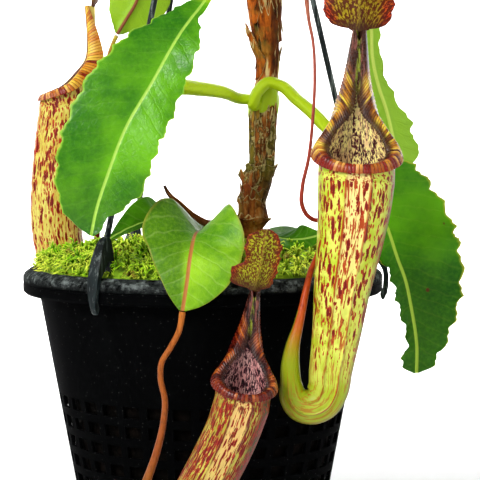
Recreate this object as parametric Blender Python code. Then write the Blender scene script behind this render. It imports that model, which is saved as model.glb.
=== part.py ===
"""A potted pitcher plant in a hanging pot.

Metres, +Z up, origin at the middle of the pot's base. The front of the plant faces -Y.
Routes and outlines are written in millimetres and brought to metres by MM.
"""

import math
import random

import bpy
import numpy as np

MM = 0.001
CLEAR = 0.3  # gap kept between pieces that touch, in millimetres
SEAT_GAP = 0.45  # the same, where a flat foot meets a round stem

# Pot
POT_HEIGHT = 150.0
POT_BASE_RADIUS = 61.0
POT_FLARE = 0.186  # how much the radius grows for each unit of height
POT_WALL = 1.8
POT_FLOOR = 3.0
RIM_RADIUS = 95.0
RIM_DROP = 12.7  # from the rim's top to its underside
RIM_INSIDE = 88.5
SLOT_COLUMNS = 18
SLOT_ROWS = 6
SLOT_TOP = 85.3
SLOT_PITCH = 10.3
SLOT_HEIGHT = 5.8
SLOT_ANGLE = 12.0  # degrees

# Hanger
STRAND_RADIUS = 1.5
STRAND_DIRECTIONS = {"front_left": -122.0, "back_left": 118.0, "right": -2.0}  # degrees from +X
APEX = (13.0, 0.0, 478.0)
CLIP_WIDTH = 6.0
HOOK_RADIUS = 13.0
HOOK_WIRE = 3.0
COLLAR_BOTTOM = -6.0  # from the apex

# Soil
MIX_TOP = 140.0
MOSS_EDGE = 151.0
MOSS_TOP = 161.0
MOSS_RADIUS = 87.4
MOSS_DENT = 6.0  # how far the cushion stands back from each clip
STEM_FOOT = (25.0, 0.0, 120.0)
STEM_FOOT_RADIUS = 6.0

# Pitchers
RING_POINTS = 20  # round a pitcher
WALL = 1.3
WING_RISE = 1.0  # of the two ridges down a pitcher's front

# The edge of the mouth of the largest pitcher, from the middle of its front lip to the top of its
# neck: sideways, backwards and upwards from the tube's axis at the height of the front lip.
MOUTH_EDGE = [
    (0.0, -18.0, 0.0), (5.5, -17.2, 0.3), (10.5, -14.7, 1.3), (14.8, -10.4, 3.3), (17.4, -4.5, 6.2),
    (17.4, 2.0, 10.2), (13.3, 8.8, 17.5), (6.6, 15.6, 28.5), (3.6, 15.8, 43.0), (1.8, 12.0, 67.0),
]
NECK_SPINE = (0.0, 16.6, 67.0)
LID_FOOT = (0.0, 15.6, 67.0)
MOUTH_INSIDE_APEX = (0.0, 16.2, 31.0)
NECK_FROM = 7  # the first point of the mouth's edge that belongs to the neck
COLLAR_FOOT = -6.0  # where the round tube ends and the collar to the mouth's edge begins
# Across the lip at each of those points: half its width, half its thickness, and how far its outer
# edge rolls back over the tube.
LIP_HALF_WIDTHS = [2.3, 2.4, 2.7, 3.2, 3.9, 4.2, 3.5, 4.7, 3.3, 1.5]
LIP_HALF_THICKNESS = [1.5, 1.5, 1.5, 1.5, 1.5, 1.5, 1.4, 1.3, 1.1, 0.8]
LIP_ROLL = [2.4, 2.4, 2.6, 2.9, 3.5, 4.6, 6.5, 9.0, 6.5, 1.2]
LIP_ROLL_FROM = 0.3  # the share of the half width where the roll begins
LIP_SECTION = [
    (-1.0, 0.0), (-0.6, 0.8), (0.0, 1.0), (0.6, 0.9), (1.0, 0.3), (0.95, -0.6), (0.45, -1.0), (-0.6, -0.8),
]
LIP_GROOVE = 0.75
LIP_LIFT = [0.0, 0.0, 0.0, 0.0, 0.1, 0.4, 1.0, 1.1, 0.9, 0.4]
LIP_RIBS = {"main": 18, "left": 13, "front": 13}


def material(name, colour, roughness, metallic=0.0):
    made = bpy.data.materials.new(name)
    made.use_nodes = True
    shader = made.node_tree.nodes["Principled BSDF"]
    shader.inputs["Base Color"].default_value = (*colour, 1.0)
    shader.inputs["Roughness"].default_value = roughness
    shader.inputs["Metallic"].default_value = metallic
    made.diffuse_color = (*colour, 1.0)
    return made


def unit(vector):
    vector = np.asarray(vector, float)
    return vector / np.linalg.norm(vector)


def spline(rows, samples):
    """Rows on a smooth curve through the given rows, at even steps of length along its first three columns."""
    rows = np.asarray(rows, float)
    steps = np.linalg.norm(np.diff(rows[:, :3], axis=0), axis=1)
    at = np.concatenate([[0], np.cumsum(steps)])
    slopes = np.gradient(rows, at, axis=0) if len(rows) > 2 else np.repeat(np.diff(rows, axis=0) / steps[0], 2, 0)
    dense = []
    for i in range(len(rows) - 1):
        length = at[i + 1] - at[i]
        for t in np.linspace(0, 1, 24, endpoint=False):
            a, b = 2 * t**3 - 3 * t**2 + 1, t**3 - 2 * t**2 + t
            c, d = 3 * t**2 - 2 * t**3, t**3 - t**2
            dense.append(a * rows[i] + b * length * slopes[i] + c * rows[i + 1] + d * length * slopes[i + 1])
    dense = np.array([*dense, rows[-1]])
    along = np.concatenate([[0], np.cumsum(np.linalg.norm(np.diff(dense[:, :3], axis=0), axis=1))])
    places = np.linspace(0, 1, samples) if np.isscalar(samples) else np.asarray(samples)
    return np.array([np.interp(places * along[-1], along, column) for column in dense.T]).T


def by_index(rows, places):
    """Rows on a smooth curve through the given rows, at places counted in rows."""
    rows = np.asarray(rows, float)
    slopes = np.gradient(rows, axis=0)
    found = []
    for place in places:
        i = min(int(place), len(rows) - 2)
        t = place - i
        a, b = 2 * t**3 - 3 * t**2 + 1, t**3 - 2 * t**2 + t
        c, d = 3 * t**2 - 2 * t**3, t**3 - t**2
        found.append(a * rows[i] + b * slopes[i] + c * rows[i + 1] + d * slopes[i + 1])
    return np.array(found)


def directions(path):
    slopes = np.gradient(path[:, :3], axis=0)
    return slopes / np.linalg.norm(slopes, axis=1)[:, None]


def solid(name, rings, finish, closed=False, blade=False):
    """A closed body through rings with the same number of points, with flat ends or, if closed, none.

    The two faces of a blade are split into triangles along the same diagonals, so that they stay apart.
    Elsewhere each four-sided face is split along its shorter diagonal.
    """
    rings = np.asarray(rings, float)
    count, around = rings.shape[:2]
    faces = []
    for i in range(count if closed else count - 1):
        j = (i + 1) % count
        for k in range(around):
            m = (k + 1) % around
            a, b, c, d = i * around + k, i * around + m, j * around + m, j * around + k
            if blade:
                other_way = k >= around // 2
            else:
                other_way = np.linalg.norm(rings[i, m] - rings[j, k]) < np.linalg.norm(rings[i, k] - rings[j, m])
            faces += [(a, b, d), (b, c, d)] if other_way else [(a, b, c), (a, c, d)]
    if not closed:
        last = (count - 1) * around
        for k in range(around // 2 - 1):
            a, b, c, d = k, k + 1, around - 2 - k, around - 1 - k
            faces += [(a, c, b), (a, d, c)]
            faces += [(last + a, last + b, last + c), (last + a, last + c, last + d)]
    return body(name, rings.reshape(-1, 3), faces, finish)


def body(name, points, faces, finish, flat_above=60):
    """An object from points in millimetres and faces, turned so that the faces point out."""
    points = np.asarray(points, float)
    triangles = [(face[0], face[i], face[i + 1]) for face in faces for i in range(1, len(face) - 1)]
    corners = points[np.array(triangles)]
    if np.linalg.det(corners).sum() < 0:
        faces = [tuple(reversed(face)) for face in faces]
    mesh = bpy.data.meshes.new(name)
    mesh.from_pydata((points * MM).tolist(), [], faces)
    mesh.materials.append(finish)
    mesh.shade_smooth()
    mesh.set_sharp_from_angle(angle=math.radians(flat_above))
    made = bpy.data.objects.new(name, mesh)
    bpy.context.scene.collection.objects.link(made)
    return made


def round_rings(path, sides, first_side, from_end=False):
    """Circles round a path of x, y, z and radius, turned no more than the path bends."""
    along = directions(path)
    order = range(len(path) - 1, -1, -1) if from_end else range(len(path))
    side = np.asarray(first_side, float)
    rings = [None] * len(path)
    for i in order:
        side = unit(side - np.dot(side, along[i]) * along[i])
        other = np.cross(along[i], side)
        angles = np.arange(sides) * 2 * math.pi / sides
        rings[i] = path[i, :3] + path[i, 3] * (np.cos(angles)[:, None] * side + np.sin(angles)[:, None] * other)
    return np.array(rings)


def tube(name, route, samples, sides, finish):
    path = spline(route, samples)
    first = (0.3, -1.0, 0.2)
    return solid(name, round_rings(path, sides, first), finish)


# Pot


def pot_rows():
    """The pot's outline from the middle of its base to the rim, as outside and inside rows."""
    outside = [(12.0, 0.0), (30.0, 0.0), (44.0, 0.0), (POT_BASE_RADIUS, 0.0)]
    inside = [(r if r < 50 else r - POT_WALL, POT_FLOOR) for r, _ in outside]
    levels = []
    for row in reversed(range(SLOT_ROWS)):
        top = SLOT_TOP - row * SLOT_PITCH
        levels += [top - SLOT_HEIGHT, top]
    levels.append(POT_HEIGHT - RIM_DROP)
    for level in levels:
        radius = POT_BASE_RADIUS + POT_FLARE * level
        outside.append((radius, level))
        inside.append((radius - POT_WALL, level))
    rim = [
        (RIM_RADIUS, POT_HEIGHT - RIM_DROP + 2.0), (RIM_RADIUS, POT_HEIGHT - 5.4),
        (RIM_RADIUS - 1.6, POT_HEIGHT - 2.2), (RIM_RADIUS - 4.0, POT_HEIGHT), (RIM_INSIDE, POT_HEIGHT),
    ]
    return outside, inside, rim


def pot_angles():
    pitch = 360 / SLOT_COLUMNS
    starts = [k * pitch for k in range(SLOT_COLUMNS)]
    return [math.radians(a) for start in starts for a in (start, start + SLOT_ANGLE)]


def pot(finish):
    """Outside and inside sheets joined through the rim and round each hole."""
    outside, inside, rim = pot_rows()
    angles = pot_angles()
    columns = len(angles)
    points = [(r * math.cos(a), r * math.sin(a), z) for r, z in outside + inside + rim for a in angles]

    def sheet(first, row, column):
        return (first + row) * columns + column % columns

    faces = []
    floor_rows = 3
    for row in range(len(outside) - 1):
        wall_row = row - floor_rows
        for column in range(columns):
            slot = 0 <= wall_row < 2 * SLOT_ROWS and wall_row % 2 == 1 and column % 2 == 0
            drain = row == 1 and column % 6 == 0
            outer = [sheet(0, row + i, column + j) for i, j in ((0, 0), (0, 1), (1, 1), (1, 0))]
            inner = [sheet(len(outside), row + i, column + j) for i, j in ((0, 0), (0, 1), (1, 1), (1, 0))]
            if not (slot or drain):
                faces += [outer, inner[::-1]]
                continue
            for i in range(4):
                j = (i + 1) % 4
                faces.append([outer[j], outer[i], inner[i], inner[j]][::-1])
    top_rows = [len(outside) - 1, *range(len(outside) + len(inside), len(outside) + len(inside) + len(rim))]
    top_rows.append(len(outside) + len(inside) - 1)
    for low, high in zip(top_rows, top_rows[1:]):
        for column in range(columns):
            faces.append([sheet(0, low, column), sheet(0, low, column + 1),
                          sheet(0, high, column + 1), sheet(0, high, column)])
    faces.append([sheet(0, 0, column) for column in range(columns)][::-1])
    faces.append([sheet(len(outside), 0, column) for column in range(columns)])
    made = body("pot", points, faces, finish, flat_above=30)
    return made


# Hanger


def strand_foot(direction):
    turned = math.radians(direction)
    return np.array([math.cos(turned), math.sin(turned), 0.0])


def clip_outline():
    """The clip seen along the rim: distance from the pot's axis and height, a hook over the rim."""
    return [
        (84.0, 153.0), (86.6, 152.6), (87.4, 158.5), (91.5, 154.5), (95.6, 147.5), (95.5, 139.0), (94.0, 135.0),
        (95.6, 132.6), (98.0, 137.5), (98.2, 147.5), (95.5, 158.0), (90.5, 168.0), (85.6, 170.0), (83.6, 163.0),
    ]


def strand(tag, direction, finish):
    """A round strand fused to the clip that hooks over the rim."""
    outward = strand_foot(direction)
    across = np.array([-outward[1], outward[0], 0.0])
    outline = clip_outline()
    points = []
    for side in (-1, 1):
        for radius, height in outline:
            narrow = 0.55 if height < 140 else 0.75 if height > 160 else 1.0
            points.append(outward * radius + across * side * narrow * CLIP_WIDTH / 2 + np.array([0, 0, height]))
    count = len(outline)
    faces = [list(range(count)), list(range(count, 2 * count))[::-1]]
    faces += [[i, i + count, (i + 1) % count + count, (i + 1) % count] for i in range(count)]
    clip = body("hanger_strand_" + tag, points, faces, finish)
    start = outward * 87.5 + np.array([0, 0, 164.0])
    end = np.array(APEX) + outward * 2.6 + np.array([0, 0, COLLAR_BOTTOM - CLEAR - STRAND_RADIUS * 0.3])
    rod = tube("rod_" + tag, [(*(start + (end - start) * t), STRAND_RADIUS) for t in (0, 0.5, 1)], 3, 8, finish)
    return join([clip, rod])


def join(pieces):
    """The first piece fused with the others by one union."""
    first, *others = pieces
    group = bpy.data.collections.new("fused_into_" + first.name)
    for piece in others:
        group.objects.link(piece)
    union = first.modifiers.new("union", "BOOLEAN")
    union.operation = "UNION"
    union.operand_type = "COLLECTION"
    union.collection = group
    union.solver = "EXACT"
    graph = bpy.context.evaluated_depsgraph_get()
    fused = bpy.data.meshes.new_from_object(first.evaluated_get(graph))
    first.modifiers.clear()
    first.data = fused
    fused.shade_smooth()
    fused.set_sharp_from_angle(angle=math.radians(50))
    bpy.data.collections.remove(group)
    for piece in others:
        bpy.data.objects.remove(piece)
    return first


def hanger_hook(finish):
    """The collar that the strands meet in and the open hook above it."""
    x, y, z = APEX
    collar = [(0, COLLAR_BOTTOM, 5.0), (0, -4.5, 6.2), (0, 4, 5.6), (0, 9, 3.4), (0, 16, HOOK_WIRE)]
    centre = z + 16 + 6 + HOOK_RADIUS
    route = [(x, y, z + h, r) for _, h, r in collar]
    for turn in range(-60, 200, 20):
        angle = math.radians(turn)
        route.append((x + HOOK_RADIUS * math.cos(angle), y, centre + HOOK_RADIUS * math.sin(angle), HOOK_WIRE))
    return tube("hanger_hook", route, 26, 8, finish)


# Soil


def potting_mix(finish):
    angles = np.arange(24) * 2 * math.pi / 24

    def ring(centre, radius, height):
        return [(centre[0] + radius * math.cos(a), centre[1] + radius * math.sin(a), height) for a in angles]

    inside = POT_BASE_RADIUS - POT_WALL - 1.0
    low = POT_FLOOR + CLEAR
    hole = STEM_FOOT_RADIUS + 2 * CLEAR
    rings = [
        ring((0, 0), inside, low), ring((0, 0), inside + POT_FLARE * MIX_TOP, MIX_TOP),
        ring(STEM_FOOT, hole, MIX_TOP), ring(STEM_FOOT, hole, STEM_FOOT[2] - CLEAR),
    ]
    return solid("potting_mix", rings, finish)


def moss(finish):
    """A lumpy cushion round the stem, with its lumps drawn from a seed."""
    draw = random.Random(7)
    columns, rows = 36, 5
    inside = POT_BASE_RADIUS - POT_WALL + POT_FLARE * MIX_TOP - CLEAR
    clips = [round(direction) % 360 for direction in STRAND_DIRECTIONS.values()]
    hole = STEM_FOOT_RADIUS + 2 * CLEAR
    low = MIX_TOP + CLEAR
    rings = [[] for _ in range(rows + 4)]
    for column in range(columns):
        degrees = column * 360 / columns + STRAND_DIRECTIONS["right"]
        angle = math.radians(degrees)
        edge = MOSS_RADIUS - (MOSS_DENT if round(degrees) % 360 in clips else 0.0)
        spoke = np.array([math.cos(angle), math.sin(angle), 0.0])
        foot = np.array([STEM_FOOT[0], STEM_FOOT[1], 0.0]) + spoke * hole
        rings[0].append(foot + (0, 0, low))
        rings[1].append(foot + (0, 0, MOSS_TOP - 1.5))
        for row in range(1, rows + 1):
            share = (row / rows) ** 0.8
            place = foot * (1 - share) + spoke * edge * share
            reach = np.linalg.norm(place) / edge
            height = MOSS_TOP - (MOSS_TOP - MOSS_EDGE - 2.5) * reach**5
            lump = draw.uniform(-1.6, 1.4) if row < rows else -1.5
            place[2] = height + lump
            rings[row + 1].append(place)
        rings[rows + 2].append(spoke * (edge - 1.2) + (0, 0, MOSS_EDGE - 4.0))
        rings[rows + 3].append(spoke * inside + (0, 0, low))
    return solid("moss", rings, finish, closed=True)


# Plant


# The stem's axis and radius, with a swelling at each leaf node.
STEM = [
    (25, 0, 120, 6.0), (25, 0, 150, 5.6), (25.4, 0, 163, 5.0), (25.9, 0, 170, 5.4), (26.2, 0, 175, 7.9),
    (26.3, 0, 179, 7.3), (26.6, 0, 185, 6.7), (28.1, 0, 191, 7.2), (30, 0, 199, 7.5), (31.2, 0, 205, 6.8),
    (31.3, 0, 217, 6.9), (31.6, 0, 230, 7.0), (32.4, 0, 240, 6.6), (33.9, 0, 250, 5.7), (34.7, 0, 260, 5.7),
    (33.8, 0, 268, 6.5), (33.2, 0, 276, 7.6), (32.3, 0, 284, 8.2), (31.8, 0, 292, 8.3), (31.4, 0, 303, 7.1),
    (31, 0, 313, 6.2), (31, 0, 336, 5.0), (31, 0, 346, 2.2),
]
STEM_SIDES = 12


def stem(finish):
    """The woody stem with its swollen leaf nodes and uneven bark."""
    draw = random.Random(3)
    path = spline(STEM, 46)
    rings = round_rings(path, STEM_SIDES, (0.0, -1.0, 0.0))
    for ring, (x, y, z, radius) in zip(rings, path):
        for point in ring:
            point[:] = (x, y, z) + (point - (x, y, z)) * (1 + draw.uniform(-0.03, 0.0))
    return solid("stem", rings, finish)


def on_stem(height, direction, out=4.0):
    """Where a leaf's foot meets the stem, and a point straight out from it. direction: degrees from +X."""
    rows = np.array(STEM, float)
    x, y, radius = (np.interp(height, rows[:, 2], rows[:, i]) for i in (0, 1, 3))
    turned = math.radians(direction)
    outward = np.array([math.cos(turned), math.sin(turned), 0.0])
    foot = np.array([x, y, height]) + outward * (radius + SEAT_GAP)
    return [tuple(foot), tuple(foot + outward * out)]


def tooth(place):
    """A saw tooth from 0 to 1: a slow rise and a sudden fall."""
    place = place % 1.0
    return place / 0.7 if place < 0.7 else (1 - place) / 0.3


def leaf(name, finish, route, faces, widths, petiole=0.0, petiole_width=(2.6, 2.6), fold=(12, 12), curl=0.0,
         wave=0.0, waves=3, teeth=0, tooth_depth=2.0, stations=30, rib=1.6, edge=0.4,
         across=(-1, -0.5, 0, 0.5, 1)):
    """A leaf from its petiole's foot to its tip as one body.

    route: x, y, z along the midrib. faces: where the upper side faces at each of those points.
    widths: share of the blade's length, and the width left and right of the midrib there,
    as the blade hangs with its upper side to the viewer.
    petiole_width: its half width at its foot and at the blade.
    fold: degrees that each half stands up from flat, at even steps from the blade's foot to its tip.
    """
    stations = np.linspace(0, 1, stations)
    path = spline([(*p, *f) for p, f in zip(route, faces)], stations)
    along = directions(path)
    shares = [row[0] for row in widths]
    rings = []
    for place, row, forward in zip(stations, path, along):
        up = row[3:6] - np.dot(row[3:6], forward) * forward
        up = unit(up)
        side = np.cross(forward, up)  # to the left as the blade hangs with its upper side to the viewer
        in_blade = (place - petiole) / (1 - petiole)
        blade = max(in_blade, 0.0)
        half = {s: np.interp(blade, shares, [w[i] for w in widths]) for s, i in ((1, 1), (-1, 2))}
        if in_blade < 0:
            narrow = np.interp(place / petiole, (0, 1), petiole_width)
            half = {-1: narrow, 1: narrow}
        folded = math.radians(np.interp(blade, np.linspace(0, 1, len(fold)), fold))
        top, bottom = [], []
        for v in across:
            s = 1 if v > 0 else -1
            width = half[s]
            if teeth and 0.08 < blade < 0.97:
                notch = 1 - tooth(blade * teeth + (0.4 if s > 0 else 0.0))
                width -= min(tooth_depth, 0.35 * width) * abs(v) ** 3 * notch
            reach = abs(v) * width
            lift = reach * math.sin(folded) - curl * v * v * math.sin(math.pi * min(blade * 1.1, 1)) * width / 20
            lift += wave * v * v * math.sin(2 * math.pi * (waves * blade + 0.27 * s)) * min(blade * 4, 1)
            thick = edge + (rib - edge) * math.exp(-((reach / 2.2) ** 2))
            base = row[:3] + side * s * reach * math.cos(folded) + up * lift
            top.append(base + up * thick * 0.5)
            bottom.append(base - up * thick)
        rings.append(top + bottom[::-1])
    return solid(name, rings, finish, blade=True)


def pitcher_frame(up, facing):
    """Rows that point sideways, backwards and along the tube at its mouth."""
    up = unit(up)
    front = np.asarray(facing, float)
    front = unit(front - np.dot(front, up) * up)
    return np.array([np.cross(front, up), -front, up])


def both_sides(half, spine):
    """The whole edge: up the right side, the neck's spine, and down the left side."""
    half = np.asarray(half)
    return np.array([*half, spine, *(half[:0:-1] * (-1, 1, 1))])


def split(route, first):
    """Where the tendril ends and the tube begins, as shares of the route's length, and that length."""
    points = np.array(route)[:, :3]
    along = np.concatenate([[0], np.cumsum(np.linalg.norm(np.diff(points, axis=0), axis=1))])
    half_gap = CLEAR / 2
    return (along[first] - half_gap) / along[-1], (along[first] + half_gap) / along[-1]


def pitcher(name, finish, route, origin, up, facing, scale, first, stations, inside_share=0.55):
    """A hollow tube that ends in the mouth's edge, with a closed neck behind the mouth."""
    frame = pitcher_frame(up, facing)
    side, back, up = frame
    origin = np.asarray(origin, float)
    whole = [*route, (*(origin + up * COLLAR_FOOT * scale), 18.3 * scale)]
    start = split(whole, first)[1]
    path = spline(whole, start + (1 - start) * np.linspace(0, 1, stations) ** 1.3)
    outer = tube_rings(path, side, back)
    path[:, 3] -= WALL
    inner = tube_rings(path, side, back)
    edge = both_sides(np.array(MOUTH_EDGE) * scale, np.array(NECK_SPINE) * scale)
    inner_edge = both_sides(mouth_inside(scale), np.array(MOUTH_INSIDE_APEX) * scale)
    for i, ring in enumerate(outer):
        rise = WING_RISE * scale * max(0.0, min(1.0, (i - 0.35 * stations) / 3))
        for k in (1, RING_POINTS - 1):
            ring[k] += unit(ring[k] - path[i, :3]) * rise
    low, low_inside = ((rings[-1] - origin) @ frame.T for rings in (outer, inner))
    collars = [collar(low, edge, share) for share in (0.3, 0.6, 0.85)]
    collars += [edge, inner_edge]
    collars += [collar(low_inside, inner_edge, share) for share in (0.66, 0.33)]
    rings = [*outer, *(origin + ring @ frame for ring in collars)]
    hollow = int(stations * (1 - inside_share))
    rings += [inner[i] for i in range(stations - 1, hollow, -2)]
    return solid(name, rings, finish)


def tube_rings(path, side, back):
    """Circles round the tube that start at its front and go round by its right side."""
    rings = round_rings(path, RING_POINTS, -back, from_end=True)
    if np.dot(rings[-1][1] - rings[-1][0], side) < 0:
        rings = rings[:, np.r_[0, RING_POINTS - 1:0:-1]]
    return rings


def mouth_inside(scale):
    """The inner side of the mouth's edge, which closes to a point where the neck begins."""
    points = []
    for i, (x, y, z) in enumerate(MOUTH_EDGE):
        if i < NECK_FROM:
            inward = unit((x, min(y, 0.0), 0.0)) * WALL
            points.append(np.array((x, y, z)) * scale - inward)
            continue
        share = (i - NECK_FROM) / (len(MOUTH_EDGE) - NECK_FROM)
        drop = (5.5 * (1 - share), 0.0, -2.5 * (1 - share) ** 2)
        points.append((np.array(MOUTH_INSIDE_APEX) + drop) * scale)
    return points


def collar(low, high, share):
    """A ring between the round tube and the mouth's edge, carried round the tube's axis."""
    count = len(low)
    sides = np.array([1.0 if k <= count // 2 else -1.0 for k in range(count)])
    turns = [np.arctan2(np.abs(ring[:, 0]), -ring[:, 1]) for ring in (low, high)]
    reaches = [np.hypot(ring[:, 0], ring[:, 1]) for ring in (low, high)]
    turn = turns[0] + (turns[1] - turns[0]) * share
    reach = reaches[0] + (reaches[1] - reaches[0]) * share**4
    height = low[:, 2] + (high[:, 2] - low[:, 2]) * share
    return np.stack([sides * reach * np.sin(turn), -reach * np.cos(turn), height], axis=1)


def lip_frames(edge, frame, origin):
    """At each point of the mouth's edge: outward across the lip, and up through it."""
    side, back, up = frame
    frames = []
    for point, forward in zip(edge, directions(edge)):
        away = point - np.asarray(origin)
        outward = side * np.dot(away, side) * 1.6 + back * min(np.dot(away, back), 0.0)
        outward = unit(outward - np.dot(outward, forward) * forward)
        through = unit(np.cross(forward, outward))
        if np.dot(through, up - 0.6 * back) < 0:
            through = -through
        frames.append((outward, through))
    return frames


def peristome(name, finish, origin, up, facing, scale, ribs, steps=2):
    """The ribbed lip round the mouth and up both sides of the neck, as a horseshoe."""
    frame = pitcher_frame(up, facing)
    rows = np.linspace(0, len(MOUTH_EDGE) - 1.0, 200)
    half = by_index(MOUTH_EDGE, rows)
    lengths = np.concatenate([[0], np.cumsum(np.linalg.norm(np.diff(half, axis=0), axis=1))])
    signed = np.linspace(-lengths[-1], lengths[-1], ribs * steps + 1)
    places = np.interp(np.abs(signed), lengths, rows)
    local = by_index(MOUTH_EDGE, places)
    local[:, 0] *= np.sign(signed)
    edge = np.asarray(origin) + (local @ frame) * scale
    sizes = np.array([LIP_HALF_WIDTHS, LIP_HALF_THICKNESS, LIP_LIFT, LIP_ROLL]).T
    sizes = by_index(sizes, places) * scale
    rings = []
    for i, (point, (outward, through)) in enumerate(zip(edge, lip_frames(edge, frame, origin))):
        width, thick, lift, roll = sizes[i]
        groove = i % steps != 0
        centre = point + through * (thick + lift + CLEAR)
        ring = []
        for across, above in LIP_SECTION:
            rise = above * thick * (LIP_GROOVE if groove and above > 0 else 1.0)
            rise -= roll * (max(across - LIP_ROLL_FROM, 0.0) / (1 - LIP_ROLL_FROM)) ** 1.5
            reach = across * width * (0.95 if groove and across > 0 else 1.0)
            ring.append(centre + outward * reach + through * rise)
        rings.append(ring)
    return solid(name, rings, finish)


LID_WIDTHS = [
    (0.0, 3, 3), (0.02, 8.5, 8.5), (0.06, 13, 13), (0.12, 15.8, 15.8), (0.2, 17.2, 17.2), (0.34, 18, 18),
    (0.5, 16.8, 16.8), (0.7, 13, 13), (0.86, 8.5, 8.5), (0.95, 5, 5), (1.0, 1.5, 1.5),
]
LOBED_LID_WIDTHS = [
    (0.0, 3, 3), (0.03, 12, 8), (0.09, 18.5, 11), (0.2, 19.5, 12.5), (0.32, 17, 13), (0.42, 11.5, 13),
    (0.56, 12.5, 13.3), (0.72, 13.5, 13.5), (0.86, 11.5, 11), (0.95, 7, 7), (1.0, 2, 2),
]


def lid(name, finish, above, origin, up, facing, scale, size, widths):
    """The lid, from its foot on the top of the neck."""
    frame = pitcher_frame(up, facing)
    foot = np.asarray(origin) + np.array(LID_FOOT) * scale @ frame + frame[2] * SEAT_GAP
    route = [tuple(foot), tuple(foot + frame[2] * 3.0), *above]
    upper_side = frame[1] + (0, 0, 0.1)
    shares = [(u, a * size, b * size) for u, a, b in widths]
    return leaf(name, finish, route, [tuple(upper_side)] * len(route), shares, petiole=0.03,
                petiole_width=(1.4, 1.4), fold=(8, 4), wave=0.9, waves=2.5, stations=15, rib=1.4, edge=0.5)


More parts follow.
